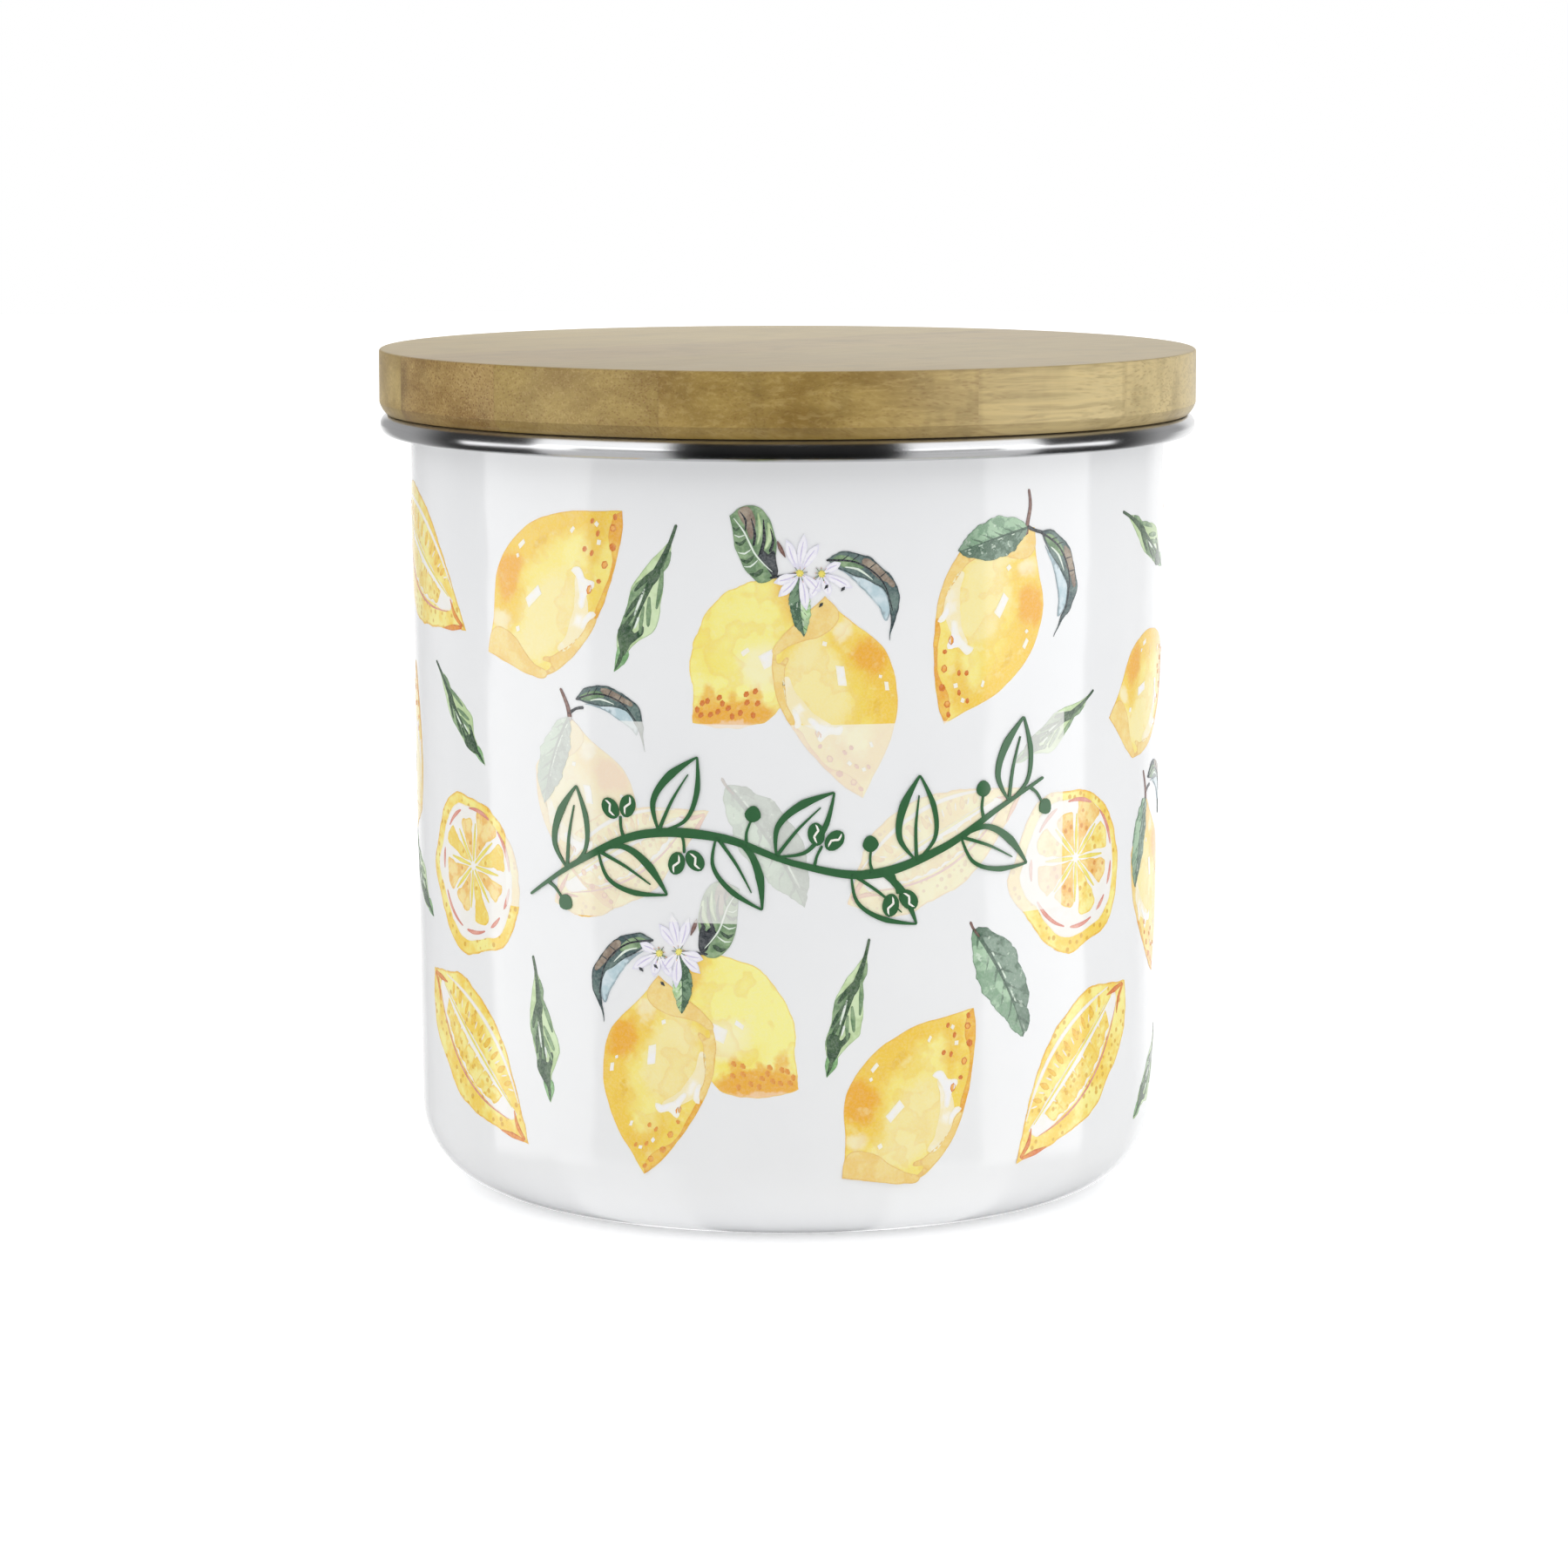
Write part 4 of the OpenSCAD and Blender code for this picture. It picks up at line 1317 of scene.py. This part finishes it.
# Each motif: a drawing and its place on the front of the wall
LAYOUT = [
    (lemon, place(-34.2, 88.2, -9, 1.07)),
    (lemon, place(17, 20)),
    (lemon, place(65, 72, -35, 0.95)),
    (lemon, place(-76.5, 62, 30, 0.85)),
    (leafy_lemon, place(28, 84.5)),
    (leafy_lemon_bare, place(-27, 58)),
    (leafy_lemon_bare, place(69.5, 43.5)),
    (cluster, place(0, 80)),
    (cluster, place(-12, 29.2, 6, 1, True)),
    (round_slice, place(-51, 48)),
    (round_slice, place(44, 49.8, 6, 1.02)),
    (wedge, place(-51.6, 23.5, -39.6)),
    (wedge, place(45.4, 22.3, 42.5, 1, True)),
    (wedge, place(20, 55, 28, 0.9)),
    (wedge, place(-23.2, 53.4, 30, 0.82)),
    (wedge, place(-68.5, 90.5, -24, 1.12)),
    (slender_leaf, span((-14.8, 97.7), (-23.8, 77.8), LEAF_L)),
    (slender_leaf, span((-61.2, 76.2), (-47.4, 63.2), LEAF_L)),
    (slender_leaf, span((-37.9, 38), (-35, 18), LEAF_L)),
    (slender_leaf, span((11, 42.3), (5.2, 23.6), LEAF_L)),
    (slender_leaf, span((47.8, 73.5), (32.3, 64.8), LEAF_L)),
    (slender_leaf, span((54.8, 97.3), (75, 88), LEAF_L)),
    (slender_leaf, span((80, 22), (62.5, 11.5), LEAF_L)),
    (slender_leaf, span((-82, 50.5), (-64.5, 39.8), LEAF_L)),
    (big_leaf, span((26, 42.9), (37.4, 28.7), LEAF_L)),
    (big_leaf, span((-8.3, 63.1), (5, 48.7), LEAF_L)),
]
HALF_TURN = math.pi * PRINT_R

sprig = Motif("print_front_sprig", np.eye(3), SPRIG_SEED)
coffee_sprig(sprig)
sprig.made()
for side, shift in (("front", 0), ("back", HALF_TURN)):
    for number, (drawing, at) in enumerate(LAYOUT, 1):
        motif = Motif(f"print_{side}_{number:02d}_{drawing.__name__}", place(shift) @ at, number)
        drawing(motif)
        motif.made()


# ---- canister, rim, lid, plug and seal

piece_from("canister_body_enamelled", lathe(canister_profile()), enamel(),
           "canister", ["canister_body"])
piece_from("rim_band_polished", lathe(band_profile()), steel(), "canister", ["rim_band"])

# Light and dark colour, strength of the fibre dots, of the long lines and of the brown blotches
STRIP_LOOKS = [
    ((175, 150, 88), (153, 126, 66), 0.35, 0.28, 0.15),
    ((172, 144, 76), (140, 110, 46), 0.6, 0.15, 0.3),
    ((168, 142, 76), (144, 116, 54), 1, 0.1, 0.2),
    ((174, 144, 84), (144, 112, 54), 1.4, 0.1, 0.35),
    ((188, 162, 96), (162, 134, 68), 0.8, 0.15, 0.2),
    ((194, 170, 98), (170, 140, 72), 0.8, 0.2, 0.2),
]
for number, (name, look) in enumerate(zip(LID_STRIPS, STRIP_LOOKS), 1):
    light, dark, dots, streaks, blotch = look
    grained = bamboo("bamboo_" + str(number), light, dark, number, dots, streaks, blotch)
    piece_from(name + "_grained", lid_strip_shell(number), grained, "lid", [name], LID_SHARP)

plug_bamboo = bamboo("bamboo_plug", (196, 162, 106), (166, 126, 72), 9, 0.8, 0.2, 0.2, 0.5)
piece_from("plug_disc_grained", lathe(plug_profile()), plug_bamboo, "lid", ["plug_disc"])
piece_from("seal_ring_moulded", lathe(seal_profile()), silicone(), "seal", ["seal_ring"])


# ---- stage, light and camera

# Radius in metres, clear space under the foot ring, and strength of the floor's own light
FLOOR_R = 2.5
FLOOR_GAP = 0.03
GLOW = 0.29


def floor():
    """Plain white floor disc that glows a little, as a light table does. It isn't mirrored in the enamel, so
    that the soft boxes reach below it"""
    shell = bmesh.new()
    bmesh.ops.create_circle(shell, cap_ends=True, segments=96, radius=FLOOR_R)
    mesh = bpy.data.meshes.new("floor")
    shell.to_mesh(mesh)
    shell.free()
    paint = Paint("floor_white", Roughness=0.9, Specular_IOR_Level=0, Emission_Color=(1, 1, 1, 1),
                  Emission_Strength=GLOW)
    place = paint.place()
    tone = paint.mix(paint.noise(place, 0.004, 2), linear(246, 246, 246), linear(248, 248, 248))
    mesh.materials.append(paint.done(Base_Color=tone))
    plane = new_object("floor", mesh)
    plane.location.z = -FLOOR_GAP * MM
    plane.visible_glossy = False


# Angle at which the camera looks down on the rim
VIEW_DOWN = 9.0

# Radiance of each region of the surroundings, as the gloss mirrors it
MIRRORED_FRONT = 0.005
MIRRORED_SIDE = 0.04
MIRRORED_EDGE = 0.42
MIRRORED_BACK = 1.1
MIRRORED_HIGH = 0.95
MIRRORED_TOP = 2.2
UPRIGHT_BOX = 3.6
HIGH_BOX = 1.4
LOW_BOX = 1.8
# Where the upright and the low soft boxes stand, by the azimuth that studio() works out
UPRIGHT_TURN = (33, 75)
LOW_TURN = (62, 104)

# Radiance of the same regions as they light the object
FRONT_LIGHT = 0.11
SIDE_LIGHT = 0.78
BACK_LIGHT = 1.1
TOP_LIGHT = 1.1


def studio():
    """Soft boxes as bright regions of the world: two upright strips in front of the sides, one overhead"""
    world = bpy.data.worlds.new("studio")
    world.use_nodes = True
    bpy.context.scene.world = world
    sky = Nodes(world.node_tree)
    direction = sky.node("TexCoord").outputs["Generated"]
    x, y, z = sky.split(direction)
    elevation = sky.times(sky.math("ARCSINE", z), 180 / math.pi)
    # Twice the azimuth of the upright surface that mirrors this direction to the front
    ahead = sky.add(sky.times(y, -1), math.cos(math.radians(VIEW_DOWN)))
    turn = sky.times(sky.math("ARCTAN2", sky.math("ABSOLUTE", x), ahead), 360 / math.pi)

    def grey(level):
        return (level,) * 3 + (1,)

    def inside(value, low, high, soft=1.5):
        return sky.times(sky.step(value, low - soft, low + soft), sky.step(value, high + soft, high - soft))

    # Upright walls, seen from slightly above, mirror a low belt of the surroundings. The rim's bead mirrors
    # the rest
    around = sky.step(turn, 108, 135, MIRRORED_SIDE, MIRRORED_EDGE)
    around = sky.mix(sky.step(turn, 48, 42), around, grey(MIRRORED_FRONT))
    box = sky.step(elevation, -30, -12, LOW_BOX * 0.4, UPRIGHT_BOX)
    box = sky.mix(sky.step(elevation, 1, 9), box, grey(HIGH_BOX))
    upright = sky.mix(inside(turn, *UPRIGHT_TURN, 2.5), around, box)
    upright = sky.mix(sky.step(elevation, 76, 82), upright, grey(MIRRORED_TOP))
    rearward = sky.add(y, sky.times(x, 0.15))
    high_back = sky.times(sky.step(rearward, 0.9, 0.99), sky.step(elevation, 45, 20))
    upright = sky.mix(high_back, upright, grey(MIRRORED_HIGH))
    behind = sky.mix(sky.step(rearward, 0.8, 0.98), around, grey(MIRRORED_BACK))
    belt = sky.mix(inside(turn, *LOW_TURN), behind, grey(LOW_BOX))
    in_belt = sky.times(sky.step(elevation, -3, -4), sky.step(elevation, -30, -15))
    mirrored = sky.mix(in_belt, upright, belt)

    lit = sky.step(turn, 30, 90, FRONT_LIGHT, SIDE_LIGHT)
    lit = sky.mix(sky.step(turn, 90, 130), lit, grey(BACK_LIGHT))
    lit = sky.mix(sky.step(x, 0.2, 1, 0, 0.8), lit, grey(BACK_LIGHT))
    lit = sky.mix(sky.step(elevation, 12, 40), lit, grey(TOP_LIGHT))

    path = sky.node("LightPath")
    light = sky.mix(path.outputs["Is Glossy Ray"], lit, mirrored)
    seen = sky.mix(path.outputs["Is Camera Ray"], light, grey(1))
    sky.put(sky.tree.nodes["Background"].inputs["Color"], seen)


def camera():
    """Long lens, slightly above the lid, looking along +Y"""
    lens = bpy.data.cameras.new("camera")
    lens.lens = 122.8
    lens.sensor_width = 36
    lens.clip_start = 0.01
    view = bpy.data.objects.new("camera", lens)
    view.location = (-0.0005, -0.7558, 0.1605)
    view.rotation_euler = (math.radians(90 - 7.87), 0, 0)
    bpy.context.scene.collection.objects.link(view)
    bpy.context.scene.camera = view


floor()
studio()
camera()
bpy.context.scene.view_settings.view_transform = "Standard"
